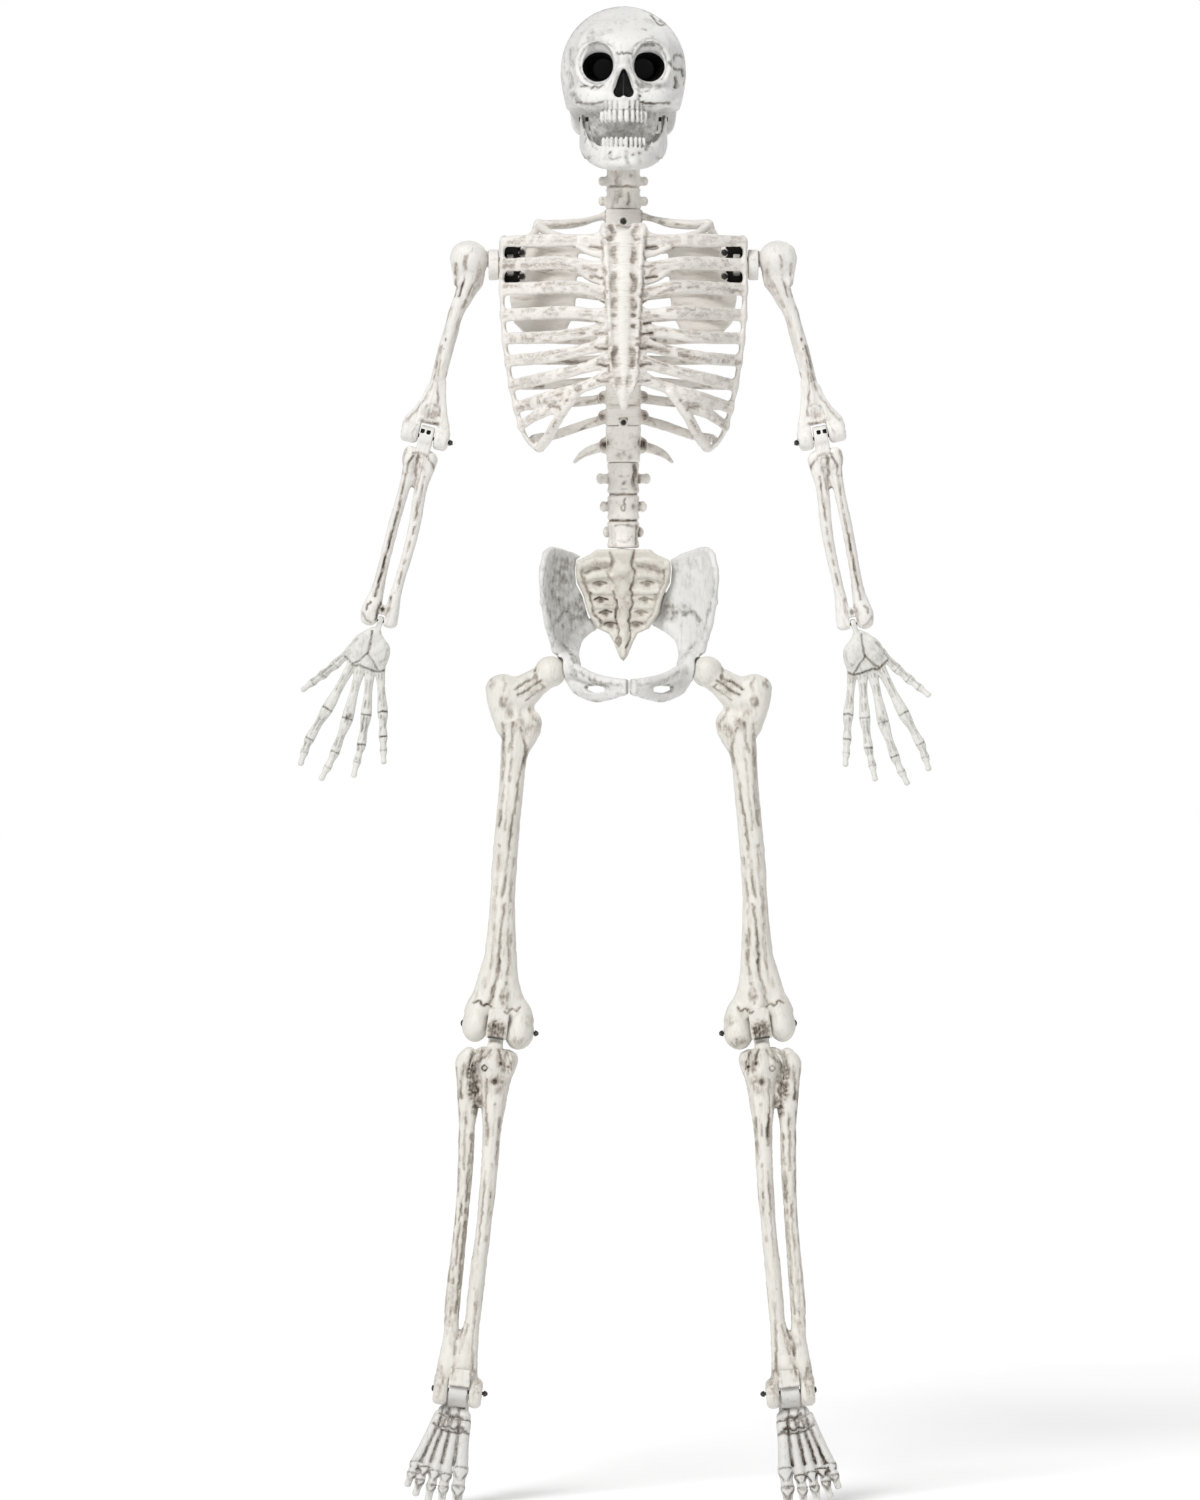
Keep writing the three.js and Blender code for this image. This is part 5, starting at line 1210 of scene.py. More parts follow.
def hip_bone(shift, dirt):
    """The left hip bone, drawn from the middle of the pelvis, `shift` outwards of the sacrum's."""
    clay = Clay((0, -118, -508), (104, 6, -324), 1.2)

    def measure(x, y, z):
        dx, dy = x - WING_MIDDLE[0], y - WING_MIDDLE[1]
        u = dx * WING_ALONG[0] + dy * WING_ALONG[1]
        lift = dx * WING_ACROSS[0] + dy * WING_ACROSS[1] - wing_lift(u)
        edge = outline_distance(WING, u, z) + WING_ROUNDING
        return eased((edge, np.abs(lift) - WING_FLAT), WING_ROUNDING)

    clay.add((np.array([24.0, -96.0, -462.0]), np.array([104.0, 6.0, -326.0]), measure))
    crest = [(-52, -350), (-31, -339), (-10, -334), (12, -332), (26, -338), (36, -354), (36.5, -370),
             (31, -390)]
    clay.add(bar([(*wing_place(u, wing_lift(u), z), 3.4, 3.6) for u, z in crest]), blend=3)
    clay.add(bar([(*wing_place(u, wing_lift(u), z), r, r + 1) for u, z, r in
                  ((31, -390, 3.2), (20, -412, 3.6), (3, -438, 5), (-8, -454, 7))]), blend=4)
    clay.add(bar([(*wing_place(-58, wing_lift(-58), -408), 5, 5), (*wing_place(-38, 2, -426), 5, 5),
                  (*wing_place(-28, 3, -444), 7, 7), (66, -50, -458, 12, 12)]), blend=6)
    clay.add(ball((68, -49, -462), (14, 15, 14)), blend=4)
    rami = (
        [(66, -54, -462, 8, 8.5), (54, -68, -468, 6, 7.4), (38, -84, -475, 5, 6.4),
         (20, -101, -479.5, 4.8, 6.6), (6, -107, -483, 4.6, 8)],
        [(64, -48, -474, 8, 7), (57, -50, -486, 6.4, 6), (45, -62, -493, 5, 5.6),
         (34, -76, -495.6, 4.6, 5.2), (18, -95, -492.5, 4.6, 4.8), (6, -105, -488, 4.4, 5)],
        [(60, -54, -480, 3.4, 9), (40, -76, -486, 3.2, 8), (20, -98, -486.5, 3.2, 7),
         (6, -106, -485, 3.4, 7)],
    )
    for ramus in rami:
        clay.add(bar(ramus), blend=2.5)
    clay.cut(bar([(27.5, -91, -486.6, 14, 3.0), (36, -82, -486.4, 14, 3.9),
                  (45.5, -71, -486.0, 14, 3.2)]), blend=1.6)
    clay.add(brick((0.6, -112, -492), (8, -102, -476), 2), blend=3)
    clay.keep(0, 0.5, 120)
    # The socket of the hip, its opening and the hole for its pin: (start, end, radius, rounding) each.
    clay.cut(ball((87.2, *HIP_AXIS), 18.6))
    for start, end, radius, rounding in ((73, 150, 16.4, 0.5), (79, 150, 20.5, 0.5), (57, 92, 3.0, 0.3)):
        clay.cut(drum((start, *HIP_AXIS), (end, *HIP_AXIS), radius, rounding))
    # Room for the sacrum.
    room = [(-60, -320), (38, -320), (39, -334.5), (52.6, -340.5), (54.4, -352), (53, -368),
            (45.6, -383), (40.6, -402), (31, -419.5), (24, -425), (-60, -425)]
    clay.cut(sheet([(x - shift, z) for x, z in room], {-425: -43.5, -320: -43.5}, {-425: 32, -320: 32}, 0.6))
    marks = [
        stroke([(93, -352), (94, -372), (88, -400), (80, -430)], 1.8, 0.9, 0.55, broken=0.5, wobble=1.6),
        stroke([(62, -404), (68, -399), (74, -403), (79, -410)], 2.2, 0.6, 0.6, broken=0.4, wobble=1.6),
        stroke([(58, -452), (66, -444), (74, -434)], 2.2, 0.7, 0.55, broken=0.3, wobble=1.2),
        stroke([(12, -497), (26, -502), (40, -500)], 2.4, 0.2, 0.4),
        stroke([(56, -468), (42, -476), (24, -481), (10, -482)], 2.2, 0.7, 0.45, broken=0.5, wobble=1.6),
        stroke([(24, -484), (30, -482), (42, -481), (48, -484)], 1.6, 0.6, 0.6, broken=0.3, wobble=1.0),
        stroke([(2, -476), (2, -492)], 1.6, 0.3, 0.6),
        stroke([(90, -350), (84, -395), (76, -430)], 3.0, 0.3, 0.4, "back", broken=0.5),
        stroke([(60, -360), (70, -390), (74, -420)], 3.4, 0.3, 0.45, "back", broken=0.5),
    ]
    cast = Cast(clay, marks, grain=(12, 12, 30), hollow_wash=0.5, relief=0.7, streaks=0.2 + 0.3 * dirt,
                seed=29)
    blotches = [((70, -346), (9, 8), 0.35), ((64, -366), (9, 10), 0.4), ((62, -396), (9, 9), 0.5),
                ((80, -420), (8, 12), 0.35), ((50, -352), (10, 12), 0.45), ((46, -398), (10, 14), 0.6)]
    if dirt > 0.5:
        blotches += [((72, -384), (26, 56), 0.55), ((52, -388), (12, 36), 0.7), ((78, -350), (12, 16), 0.6)]
    return roughen(cast, blotches, size=5.0 if dirt > 0.5 else 3.6, depth=0.4)


# ---------------------------------------------------------------- arms
# Limb bones are drawn hanging from their upper joint: (distance outwards, depth, distance down).


def down(points):
    """Turns distances down a bone into heights."""
    return [(x, y, -s, *size) for x, y, s, *size in points]


def shaft(stations):
    """A loft from (distance down, middle, half width, half depth, depth of the middle)."""
    return stack([(-s, x, y, a, b) for s, x, a, b, y in stations])


TONGUE_BORE, FORK_BORE = 3.1, 2.9


def bore(s, radius, reach=60):
    """A hole along the hinge line that lies at the distance `s` down the bone."""
    return drum((-reach, 0, -s), (reach, 0, -s), radius, 0.3)


def line(points, **how):
    return stroke([(x, -s) for x, s in points], **how)


def lines(*rows, faces=("front",), **how):
    """Grooves on each of the faces: (points, width, depth, wash, how broken) each."""
    return [line(points, width=width, depth=depth, wash=wash, broken=broken, seed=number, face=face, **how)
            for face in faces for number, (points, width, depth, wash, broken) in enumerate(rows)]


BACK_AND_SIDES = ("back", "outer", "inner")


def spot(x, s, width, **how):
    return pit(x, -s, width, **how)


def shoulder_stub():
    """Drawn in the frame's own place, on the left."""
    clay = Clay((108, -92, -36), (184, -52, 6), 0.9)
    clay.add(shoulder_drum(138, 149.3, 17, 1.6))
    clay.add(shoulder_drum(121.5, 144, 7.8, 0.4), shoulder_drum(121.5, 129.5, 12, 1))
    clay.add(drum((171, -76, -9.5), (171, -68, -9.5), 9, 0.8),
             brick((147, -76, -18.5), (171, -68, -0.5), 0.8), blend=1)
    clay.cut(drum((171, -92, -9.5), (171, -52, -9.5), 3.1, 0.3))
    marks = [ring(*SHOULDER_AXIS, 14.5, 14.5, face="outer", width=0.9, depth=0.3, wash=0.7, broken=0.3)]
    return Cast(clay, marks, grain=(8, 8, 8), hollow_wash=0.6, seed=31)


def humerus():
    clay = Clay((-34, -23, -218), (38, 23, 24), 1.15)
    clay.add(shaft([
        (4, 0, 19, 18, 0), (21, -6.4, 15.6, 14.5, 0), (36, -4.9, 11.7, 11.6, 0), (50, -2.3, 9.9, 10, 0),
        (62, 0.6, 8.4, 9.2, 0), (80, 1.1, 8.3, 8.8, 0), (97, 2, 8.6, 8.6, 0), (132, 2.6, 8.4, 8.4, 0),
        (150, 2.3, 9, 8.2, 0), (163, 1.2, 11.6, 8, 0), (172, 1.8, 14.4, 8, 0), (180, 2.8, 17.6, 8, 0),
        (189, 3.8, 23.4, 8.2, 0), (198, 3.8, 26, 8, 0),
    ]))
    clay.add(ball((-0.6, 0, 0), 21.2), blend=5)
    clay.add(bar(down([(13, -8, -6, 6, 7), (12, -9, 8, 4.6, 6), (6, -8, 30, 3, 4)])), blend=5)
    clay.add(bar(down([(9, -3, 148, 2.4, 4), (14, -3, 168, 2.8, 4), (24, -2, 188, 3.4, 5)])), blend=3)
    clay.add(bar(down([(-3, -3, 140, 2.4, 4), (-9, -3, 164, 2.8, 4), (-17, -2, 188, 4, 5)])), blend=3)
    for start, end, middle in ((9.8, 29, -200.4), (-24.2, -8.2, -202)):
        clay.add(drum((start, 0, middle), (end, 0, middle), 12.2, 5), blend=3)
    clay.cut(ball((1, -10.5, -178), (9.5, 5.5, 9)), ball((1, 10.5, -180), (11, 6, 9)), blend=3.5)
    clay.cut(brick((-7.9, -40, -260), (9.8, 40, -188.2), 0.8))
    clay.cut(brick((-50, -4.8, -11.2), (10.8, 4.8, 60), 0.6))
    clay.cut(drum((0, -18, 0), (0, 18, 0), FORK_BORE, 0.3), bore(203, FORK_BORE, 50))
    # Room for the drum of the shoulder when the arm hangs closest to the body.
    clay.cut(drum((-21.3, 0, -6.5), (-40, 0, -6.5), 17.6, 1), blend=1)
    marks = lines(
        ([(3, -1), (2.4, 5), (1.6, 12)], 2.2, 0.8, 0.62, 0.2),
        ([(-0.5, 19), (0.5, 30), (1, 43)], 1.4, 0.7, 0.9, 0.75),
        ([(-15, 6), (-16, 18), (-11, 36)], 4.6, 0.5, 0.5, 0.5),
        ([(-12, 26), (-9, 40), (-6, 54)], 2.2, 0.6, 0.6, 0.4),
        ([(13, 10), (9, 24), (7, 44)], 2.0, 0.5, 0.6, 0.4),
        ([(-6, 66), (-5, 84), (-4, 104)], 2.6, 0.5, 0.45, 0.5),
        ([(8, 58), (9, 72), (9, 86)], 2.2, 0.5, 0.5, 0.5),
        ([(5.6, 84), (5, 94), (4, 103)], 1.2, 0.6, 0.9, 0.85),
        ([(8, 102), (8, 120), (6.4, 140)], 2.6, 0.6, 0.6, 0.35),
        ([(5, 118), (2.4, 138), (-3, 160), (-8, 176)], 1.5, 0.8, 0.6, 0.3),
        ([(7, 142), (12, 162), (20, 180), (26, 190)], 1.6, 0.6, 0.5, 0.5),
        ([(-3, 168), (2, 166), (8, 170), (10, 180)], 1.6, 0.5, 0.5, 0.4),
        ([(-8, 186.4), (1, 187.4), (9.6, 186.4)], 2.2, 0.5, 0.8, 0.2),
        ([(13, 192), (16, 200), (14, 210)], 1.4, 0.4, 0.4, 0.5), wobble=1.1)
    marks += lines(([(1, 40), (3, 80), (2, 120)], 2.2, 0.6, 0.5, 0.7),
                   ([(-2, 130), (3, 150), (-1, 172)], 2.2, 0.6, 0.5, 0.6), faces=BACK_AND_SIDES)
    cast = Cast(clay, marks, grain=(6, 6, 46), hollow_wash=0.6, relief=0.45, streaks=0.25, seed=37)
    return roughen(cast, [((1, -178), (8, 9), 0.55), ((9, -124), (4, 20), 0.3), ((-14, -22), (8, 16), 0.35)],
                   size=3.6, depth=0.4)


def forearm():
    clay = Clay((-26, -15, -222), (28, 15, 16), 1.1)
    clay.add(beam(down([
        (12.4, 0, 21, 8.8, 8.2), (12.6, 0, 28, 8.6, 8.4), (11, 0, 36, 7.6, 7), (10, 0, 48, 7.4, 7),
        (10.6, 0, 62, 6.4, 6.4), (11.4, 0, 84, 6.2, 6), (12, 0, 108, 6.2, 6), (12, 0, 142, 6.2, 6),
        (11.6, 0, 174, 7, 6.6), (12, 0, 190, 9, 7.4), (12.8, 0, 202, 11, 8.2), (13, 0, 211, 8.6, 7),
    ])))
    clay.add(beam(down([
        (-7.4, 0, 23, 10.6, 9), (-6.8, 0, 36, 9.8, 8), (-6.8, 0, 50, 7.8, 7), (-7.6, 0, 66, 7.2, 6.6),
        (-9.8, 0, 88, 7, 6.2), (-11, 0, 112, 6.4, 6), (-10.8, 0, 135, 6, 6), (-9.6, 0, 156, 6, 6),
        (-9, 0, 178, 6.4, 6.2), (-9.4, 0, 196, 8.2, 7.4), (-9.6, 0, 209, 9.4, 6.6),
    ])))
    clay.add(beam(down([(3, 0, 24, 12, 7), (3, 0, 36, 8, 5), (2, 0, 54, 4, 3.6)])), blend=3)
    for x in (-26, 9.4):
        clay.cut(drum((x, 0, 0), (x + 18, 0, 0), 13.8, 0.4), blend=0.5)
    clay.add(drum((-6.6, 0, 0), (8.4, 0, 0), 12.4, 1.6), blend=0)
    clay.add(brick((-6.6, -9, -24), (8.4, 9, -4), 1.6), blend=1.5)
    clay.add(brick((-8, -5.5, -212), (10, 5.5, -192), 2), blend=2.5)
    clay.add(bar(down([(16, -2, 184, 2, 3), (19, -2, 198, 2.8, 3), (18, 0, 211, 3, 3)])), blend=3)
    for y in (-3.6, 3.6):
        clay.add(ball((12.5, y, -206), (7, 4.5, 7)), blend=3)
    clay.cut(bore(0, TONGUE_BORE))
    holes = (6.1, -0.8)
    for x in holes:
        clay.cut(brick((x - 1.9, -30, 3.0), (x + 1.9, -7.0, 7.4), 0.4), blend=0.3)
    clay.cut(brick((-3.9, -40, -260), (3.9, 40, -202.8), 0.6))
    clay.cut(drum((-12.4, 0, -210), (12.4, 0, -210), 1.8, 0.2))
    marks = lines(
        ([(12.6, 46), (10.6, 84), (11.4, 112), (12, 144), (12.2, 172), (12, 184)], 1.7, 1.1, 0.85, 0.35),
        ([(9.4, 24), (12.6, 34), (11, 44)], 1.6, 0.9, 0.85, 0.2),
        ([(3.4, 22), (3.6, 36), (0.6, 48), (1.2, 60)], 2.0, 0.9, 0.75, 0.3),
        ([(-2, 24), (-4, 36), (-2, 50), (-3, 64)], 1.6, 0.7, 0.5, 0.4),
        ([(-9, 24), (-14, 28), (-17, 34)], 1.5, 0.7, 0.65, 0.2),
        ([(-8, 44), (-9, 60), (-9, 76), (-10, 92)], 1.7, 0.8, 0.7, 0.4),
        ([(-11, 100), (-10.6, 128), (-10, 150), (-9, 176)], 1.5, 0.6, 0.55, 0.6),
        ([(19, 18), (20, 30), (16, 46)], 1.6, 0.5, 0.5, 0.4),
        ([(4, 190), (5, 200), (4.6, 209)], 2.0, 0.6, 0.8, 0.2),
        ([(-4, 182), (-6, 192), (-4, 202)], 2.4, 0.7, 0.6, 0.4),
        ([(16, 192), (18.6, 197), (17, 202)], 1.3, 0.6, 0.8, 0.1),
        ([(10, 214), (16, 212), (21, 206)], 1.6, 0.4, 0.5, 0.3),
        ([(-6, 20.6), (3, 19.6), (10, 20.6)], 1.6, 0.5, 0.6, 0.3), wobble=1.1)
    marks.append(spot(1, 197, 3.2, depth=1.0, wash=1.0))
    marks += [line([(0, 60), (1, 110), (0, 170)], face=face, width=2.0, wash=0.5, broken=0.7)
              for face in BACK_AND_SIDES]
    marks += lines(([(11, 60), (10, 110), (12, 170)], 2.0, 0.8, 0.6, 0.5),
                   ([(-7, 60), (-12, 110), (-9, 170)], 2.0, 0.8, 0.6, 0.5), faces=("back",))
    cast = Cast(clay, marks, grain=(5, 5, 48), hollow_wash=0.6, relief=0.4, streaks=0.22, seed=41)
    x, y, z = cast.points.T
    # The two slots in the front of the elbow are painted black inside, as painted shade.
    sockets = [(np.abs(x - at) < 2.2) & (z > 2.6) & (z < 7.8) & (y > -11.4) & (y < -5) for at in holes]
    cast.black = np.logical_or(*sockets) * 1.0
    return roughen(cast, [((3, -34), (12, 14), 0.4), ((4, -200), (9, 9), 0.4)], size=3.0, depth=0.4)


# Each finger: its joints as (outwards, down, half width), from the wrist end to the tip.
THUMB = [(19, 40, 6.6), (31, 62, 5.6), (40, 77, 5.5), (48, 89, 4.6), (55, 100, 3.4)]
FINGERS = [
    [(13, 52, 6.2), (23, 111, 6.6), (30.5, 149, 5.6), (31, 165, 4.7), (30.5, 178, 3.4)],
    [(4, 54, 6.2), (-1.4, 114, 6.6), (-0.9, 154, 5.6), (1, 172, 4.7), (3.2, 186, 3.4)],
    [(-7, 54, 6.0), (-19.6, 103, 6.3), (-25.8, 136, 5.3), (-27.6, 156, 4.5), (-29.4, 171, 3.4)],
    [(-17, 50, 5.8), (-36, 94, 5.9), (-45.5, 120, 5.0), (-51, 134, 4.3), (-55.6, 146, 3.3)],
]


def curl(joints, amount):
    return [(x, amount * n * s, s, half) for n, (x, s, half) in enumerate(joints)]


def knuckled(joints, waist=0.74):
    """A finger or toe: a bar that swells at every joint and is waisted between them."""
    points = []
    for a, b in zip(joints[:-1], joints[1:]):
        middle = [(p + q) / 2 for p, q in zip(a, b)]
        points += [a, (*middle[:-1], waist * middle[-1])]
    return [*points, joints[-1]]


def across(joint, before, **how):
    """The dark line between two bones of a finger."""
    (x, s), (x0, s0) = joint, before
    along = unit(np.array([x - x0, s - s0], float))
    square = np.array([along[1], -along[0]])
    ends = [np.array([x, s]) + k * square for k in (-6.0, 0.0, 6.0)]
    return line([tuple(p) for p in ends], **how)


def hand():
    clay = Clay((-62, -16, -192), (62, 10, 8), 1.05)
    clay.add(beam(down([(1, 0, 12, 6, 4.6), (2, 0, 19, 13, 6), (1, 0, 30, 20, 7.2), (-0.5, 0, 44, 22, 7),
                        (-1, 0, 55, 19, 4.8)])))
    clay.add(ball((11, -2.4, -35), (11.5, 6.4, 17)), ball((-11, -2.4, -35), (11.5, 6.4, 16)),
             ball((-1, -2.6, -50), (11, 5.6, 7)), blend=1.2)
    marks = []
    for number, ray in enumerate([THUMB, *FINGERS]):
        joints = curl(ray, -0.02 if ray is THUMB else -0.0067)
        knots = [(x, y, s, half, 0.88 * half) for x, y, s, half in knuckled(joints)]
        clay.add(beam(down(knots), steps=4), blend=1.5)
        for face in ("front", "back"):
            for place, (before, joint) in enumerate(zip(ray[:-2], ray[1:-1])):
                marks.append(across(joint[:2], before[:2], face=face, width=1.1, depth=1.0, broken=0.25,
                                    wash=0.8 if place != 2 and ray is not THUMB else 0.4, wobble=1.0,
                                    seed=number))
            for a, b in zip(ray[:-2], ray[1:-1]):
                for offset, wash in ((2.2, 0.5), (-2.4, 0.35)):
                    run = [(a[0] + t * (b[0] - a[0]) + offset, a[1] + t * (b[1] - a[1]))
                           for t in (0.1, 0.5, 0.85)]
                    marks.append(line(run, face=face, width=1.6, depth=0.5, wash=wash, broken=0.8,
                                      seed=number + 3))
    clay.add(drum((-3, 0, 0), (3, 0, 0), 5.4, 0.6), brick((-3, -4.5, -18), (3, 4.5, -2), 0.8), blend=1)
    clay.cut(bore(0, 2.0, 30))
    marks += lines(
        ([(4.7, 14), (2, 26), (1.4, 38.5)], 1.4, 1.1, 0.85, 0.1),
        ([(1.4, 38.5), (6, 47), (12.3, 55)], 1.3, 1.0, 0.75, 0.2),
        ([(1.4, 38.5), (-7, 45), (-16.5, 53)], 1.3, 1.0, 0.75, 0.2),
        ([(24, 49), (12.3, 56), (4, 54.6), (-16, 54), (-25, 47.4)], 1.5, 1.1, 0.8, 0.2),
        ([(18, 27), (22, 38), (20, 48)], 2.0, 0.5, 0.4, 0.5),
        ([(-18, 27), (-20, 38), (-12, 46)], 2.0, 0.5, 0.4, 0.5), faces=("front", "back"))
    cast = Cast(clay, marks, grain=(5, 5, 22), hollow_wash=0.65, relief=0.35, streaks=0.25, seed=43)
    return roughen(cast, [((0, -40), (26, 22), 0.3), ((-2, -112), (4, 6), 0.8)], size=4.0, depth=0.3)


# ---------------------------------------------------------------- legs


def femur():
    clay = Clay((-46, -24, -424), (74, 22, 22), 1.35)
    clay.add(shaft([
        (56, 32, 20, 14, 0), (80, 25.4, 18.4, 13.8, 0), (95, 27, 15.4, 13.6, -1),
        (108, 26.2, 14.4, 13.4, -1), (145, 24, 13.6, 13.2, -3), (184, 22, 13.7, 12.8, -4),
        (222, 19.6, 14.1, 12.6, -4), (256, 16.6, 13.9, 12.6, -3), (282, 13.4, 15, 12.6, -2),
        (300, 11.8, 16.6, 12.6, -2), (321, 9.4, 18.4, 12.6, -1), (342, 8.7, 22, 12.4, 0),
        (362, 5.7, 28, 12.2, 0), (376, 3.6, 33, 12, 0), (386, 2.4, 36, 12, 0),
    ]))
    clay.add(ball((0, 0, 0), 17.5), blend=2.5)
    clay.add(beam(down([(7, 0, 8, 14.5, 13.5), (17, 0, 17, 16, 14), (27, 0, 27, 19, 15),
                        (40, 0, 38, 20.5, 15.5)])), blend=2)
    clay.add(beam(down([(50, 0, 26, 18.6, 16), (46, 0, 42, 18, 15.5), (38, 0, 64, 15, 14)])), blend=5)
    clay.add(ball((17, 1, -63), (16.5, 13.4, 19)), blend=8)
    for lift in (-7.5, 0, 7.5):
        ridge = [(x + 0.7 * lift, y - 11.4 + 0.05 * lift ** 2, s - 0.7 * lift, 2.4, 2.4) for x, y, s in
                 ((12, 0, 11), (21, 0, 19), (31, 0, 28))]
        clay.add(bar(down(ridge)), blend=2)
    clay.add(bar(down([(44, -11, 36, 4, 4), (37, -13, 50, 3.4, 3.4), (27, -12, 62, 3.4, 3.4),
                       (18, -9, 72, 3, 3)])), blend=5)
    clay.add(bar(down([(34, -9, 70, 3, 4), (31, -10, 110, 2.8, 4), (27, -12, 180, 2.6, 3),
                       (19, -11, 262, 2.6, 3)])), blend=4)
    clay.add(bar(down([(18, 10, 90, 3, 3), (12, 9, 180, 2.6, 3), (8, 9, 280, 2.6, 3)])), blend=4)
    clay.cut(ball((36, -17, -50), (6, 6, 9)), ball((15, -16, -74), (6, 5, 8)), blend=4)
    for x, s, width in ((26.2, 399, 15.2), (-23, 401, 16.2)):
        clay.add(ball((x, 0, -s), (width, 20.3, 20)), blend=5)
        clay.add(ball((x * 0.96, 1, -s + 14), (12.4, 14.4, 18)), blend=6)
    clay.cut(brick((-7.8, -15.6, -460), (11.8, 50, -384), 1.2))
    clay.cut(bore(400, FORK_BORE, 70))
    # The front of the knee: a rough hollow between the two smooth lobes, over the hinge.
    clay.add(brick((-9.5, -19.8, -412), (13.5, -15.8, -378), 0.8), blend=1.5)
    clay.cut(ball((2.2, -27, -403), (10, 9, 13)), blend=2)
    clay.add(beam(down([(3, -8, 352, 7, 6), (2.4, -12, 372, 8, 5), (2, -15, 385, 6, 4),
                        (1.6, -16.4, 391, 3.6, 2)])), blend=2.5)
    clay.cut(bar(down([(12, -13.5, 320, 2, 2), (10.5, -14, 345, 2.4, 2.4), (14.5, -14, 372, 2, 2)])),
             ball((-1, -17, -362), (5, 4.4, 10)), ball((22, -14, -352), (4.6, 4, 10)), blend=3)
    tilt = math.radians(8.2)
    clay.cut(drum((-34 * math.cos(tilt), 0, 34 * math.sin(tilt)), (5, 0, -0.7), 3.2, 0.3))
    marks = lines(
        ([(15, 6), (25, 15), (36, 24)], 1.7, 1.0, 0.7, 0.3),
        ([(9, 12), (19, 21), (31, 31)], 1.7, 1.0, 0.75, 0.3),
        ([(4, 18), (13, 27), (22, 36)], 1.7, 0.9, 0.6, 0.3),
        ([(17, -2), (14, 10), (4, 18)], 1.8, 0.7, 0.6, 0.3),
        ([(16, 44), (13, 50), (6, 56), (4, 66)], 2.0, 0.6, 0.5, 0.4),
        ([(50, 14), (46, 22), (48, 30)], 1.5, 0.5, 0.4, 0.4),
        ([(33, 62), (31, 78), (33, 94)], 2.0, 1.0, 0.75, 0.3),
        ([(43, 66), (39, 100), (34, 144), (31.7, 176)], 2.8, 0.9, 0.62, 0.45),
        ([(24, 66), (18, 78), (14, 90), (16, 112), (17, 142), (17, 200), (16.4, 254)], 1.9, 1.0, 0.7, 0.35),
        ([(29, 90), (27, 130), (25, 180)], 1.8, 0.8, 0.5, 0.5),
        ([(29, 200), (26, 230), (25, 262), (22, 296)], 2.6, 0.8, 0.5, 0.5),
        ([(10, 210), (8, 250), (4, 290), (-1, 322)], 2.2, 0.7, 0.5, 0.6),
        ([(13, 262), (13, 300), (11, 322), (10, 342), (14.5, 374)], 1.9, 1.0, 0.85, 0.2),
        ([(1, 296), (-1, 316), (-2, 350)], 2.2, 0.8, 0.6, 0.5),
        ([(20, 300), (19, 330), (21, 352)], 2.4, 0.6, 0.4, 0.5),
        ([(12, 378), (16, 374), (21, 377), (25, 373), (31, 375)], 1.2, 1.0, 0.9, 0.1),
        ([(-20, 373), (-16, 378), (-11, 376), (-7, 381), (-4, 380)], 1.2, 1.0, 0.9, 0.1), wobble=1.3)
    marks += lines(([(2, 60), (0, 120), (-1, 190)], 2.4, 0.8, 0.55, 0.6),
                   ([(-3, 200), (1, 260), (0, 330)], 2.4, 0.8, 0.55, 0.6), faces=BACK_AND_SIDES, wobble=1.6)
    marks.append(line([(17, 80), (12, 170), (8, 280)], face="back", width=2.6, wash=0.7, broken=0.4))
    cast = Cast(clay, marks, grain=(8, 8, 60), hollow_wash=0.7, relief=0.6, streaks=0.24, seed=47)
    x, y, z = cast.points.T
    # The shadow of the hinge under the plate.
    cast.black = ((x > -7) & (x < 11) & (z < -408.8) & (z > -413.5) & (y < -14)) * 0.85
    roughen(cast, [((47, -40), (5, 9), 0.85), ((38, -54), (6, 8), 0.55), ((26, -62), (6, 10), 0.6),
                   ((13, -68), (7, 9), 0.6), ((62, -22), (4, 7), 0.7), ((20, -20), (12, 12), 0.35),
                   ((-1, -364), (6, 11), 0.7), ((-30, -386), (7, 8), 0.4), ((-26, -412), (12, 7), 0.5),
                   ((22, -352), (4, 8), 0.35), ((40, -110), (4, 40), 0.35)], size=3.6, depth=0.4)
    # Painted shade: the hollow at the front of the knee is washed fully dark, over its rough bumps.
    return roughen(cast, [((2.2, -402), (11, 12), 1.5)], size=2.4, depth=0.5)


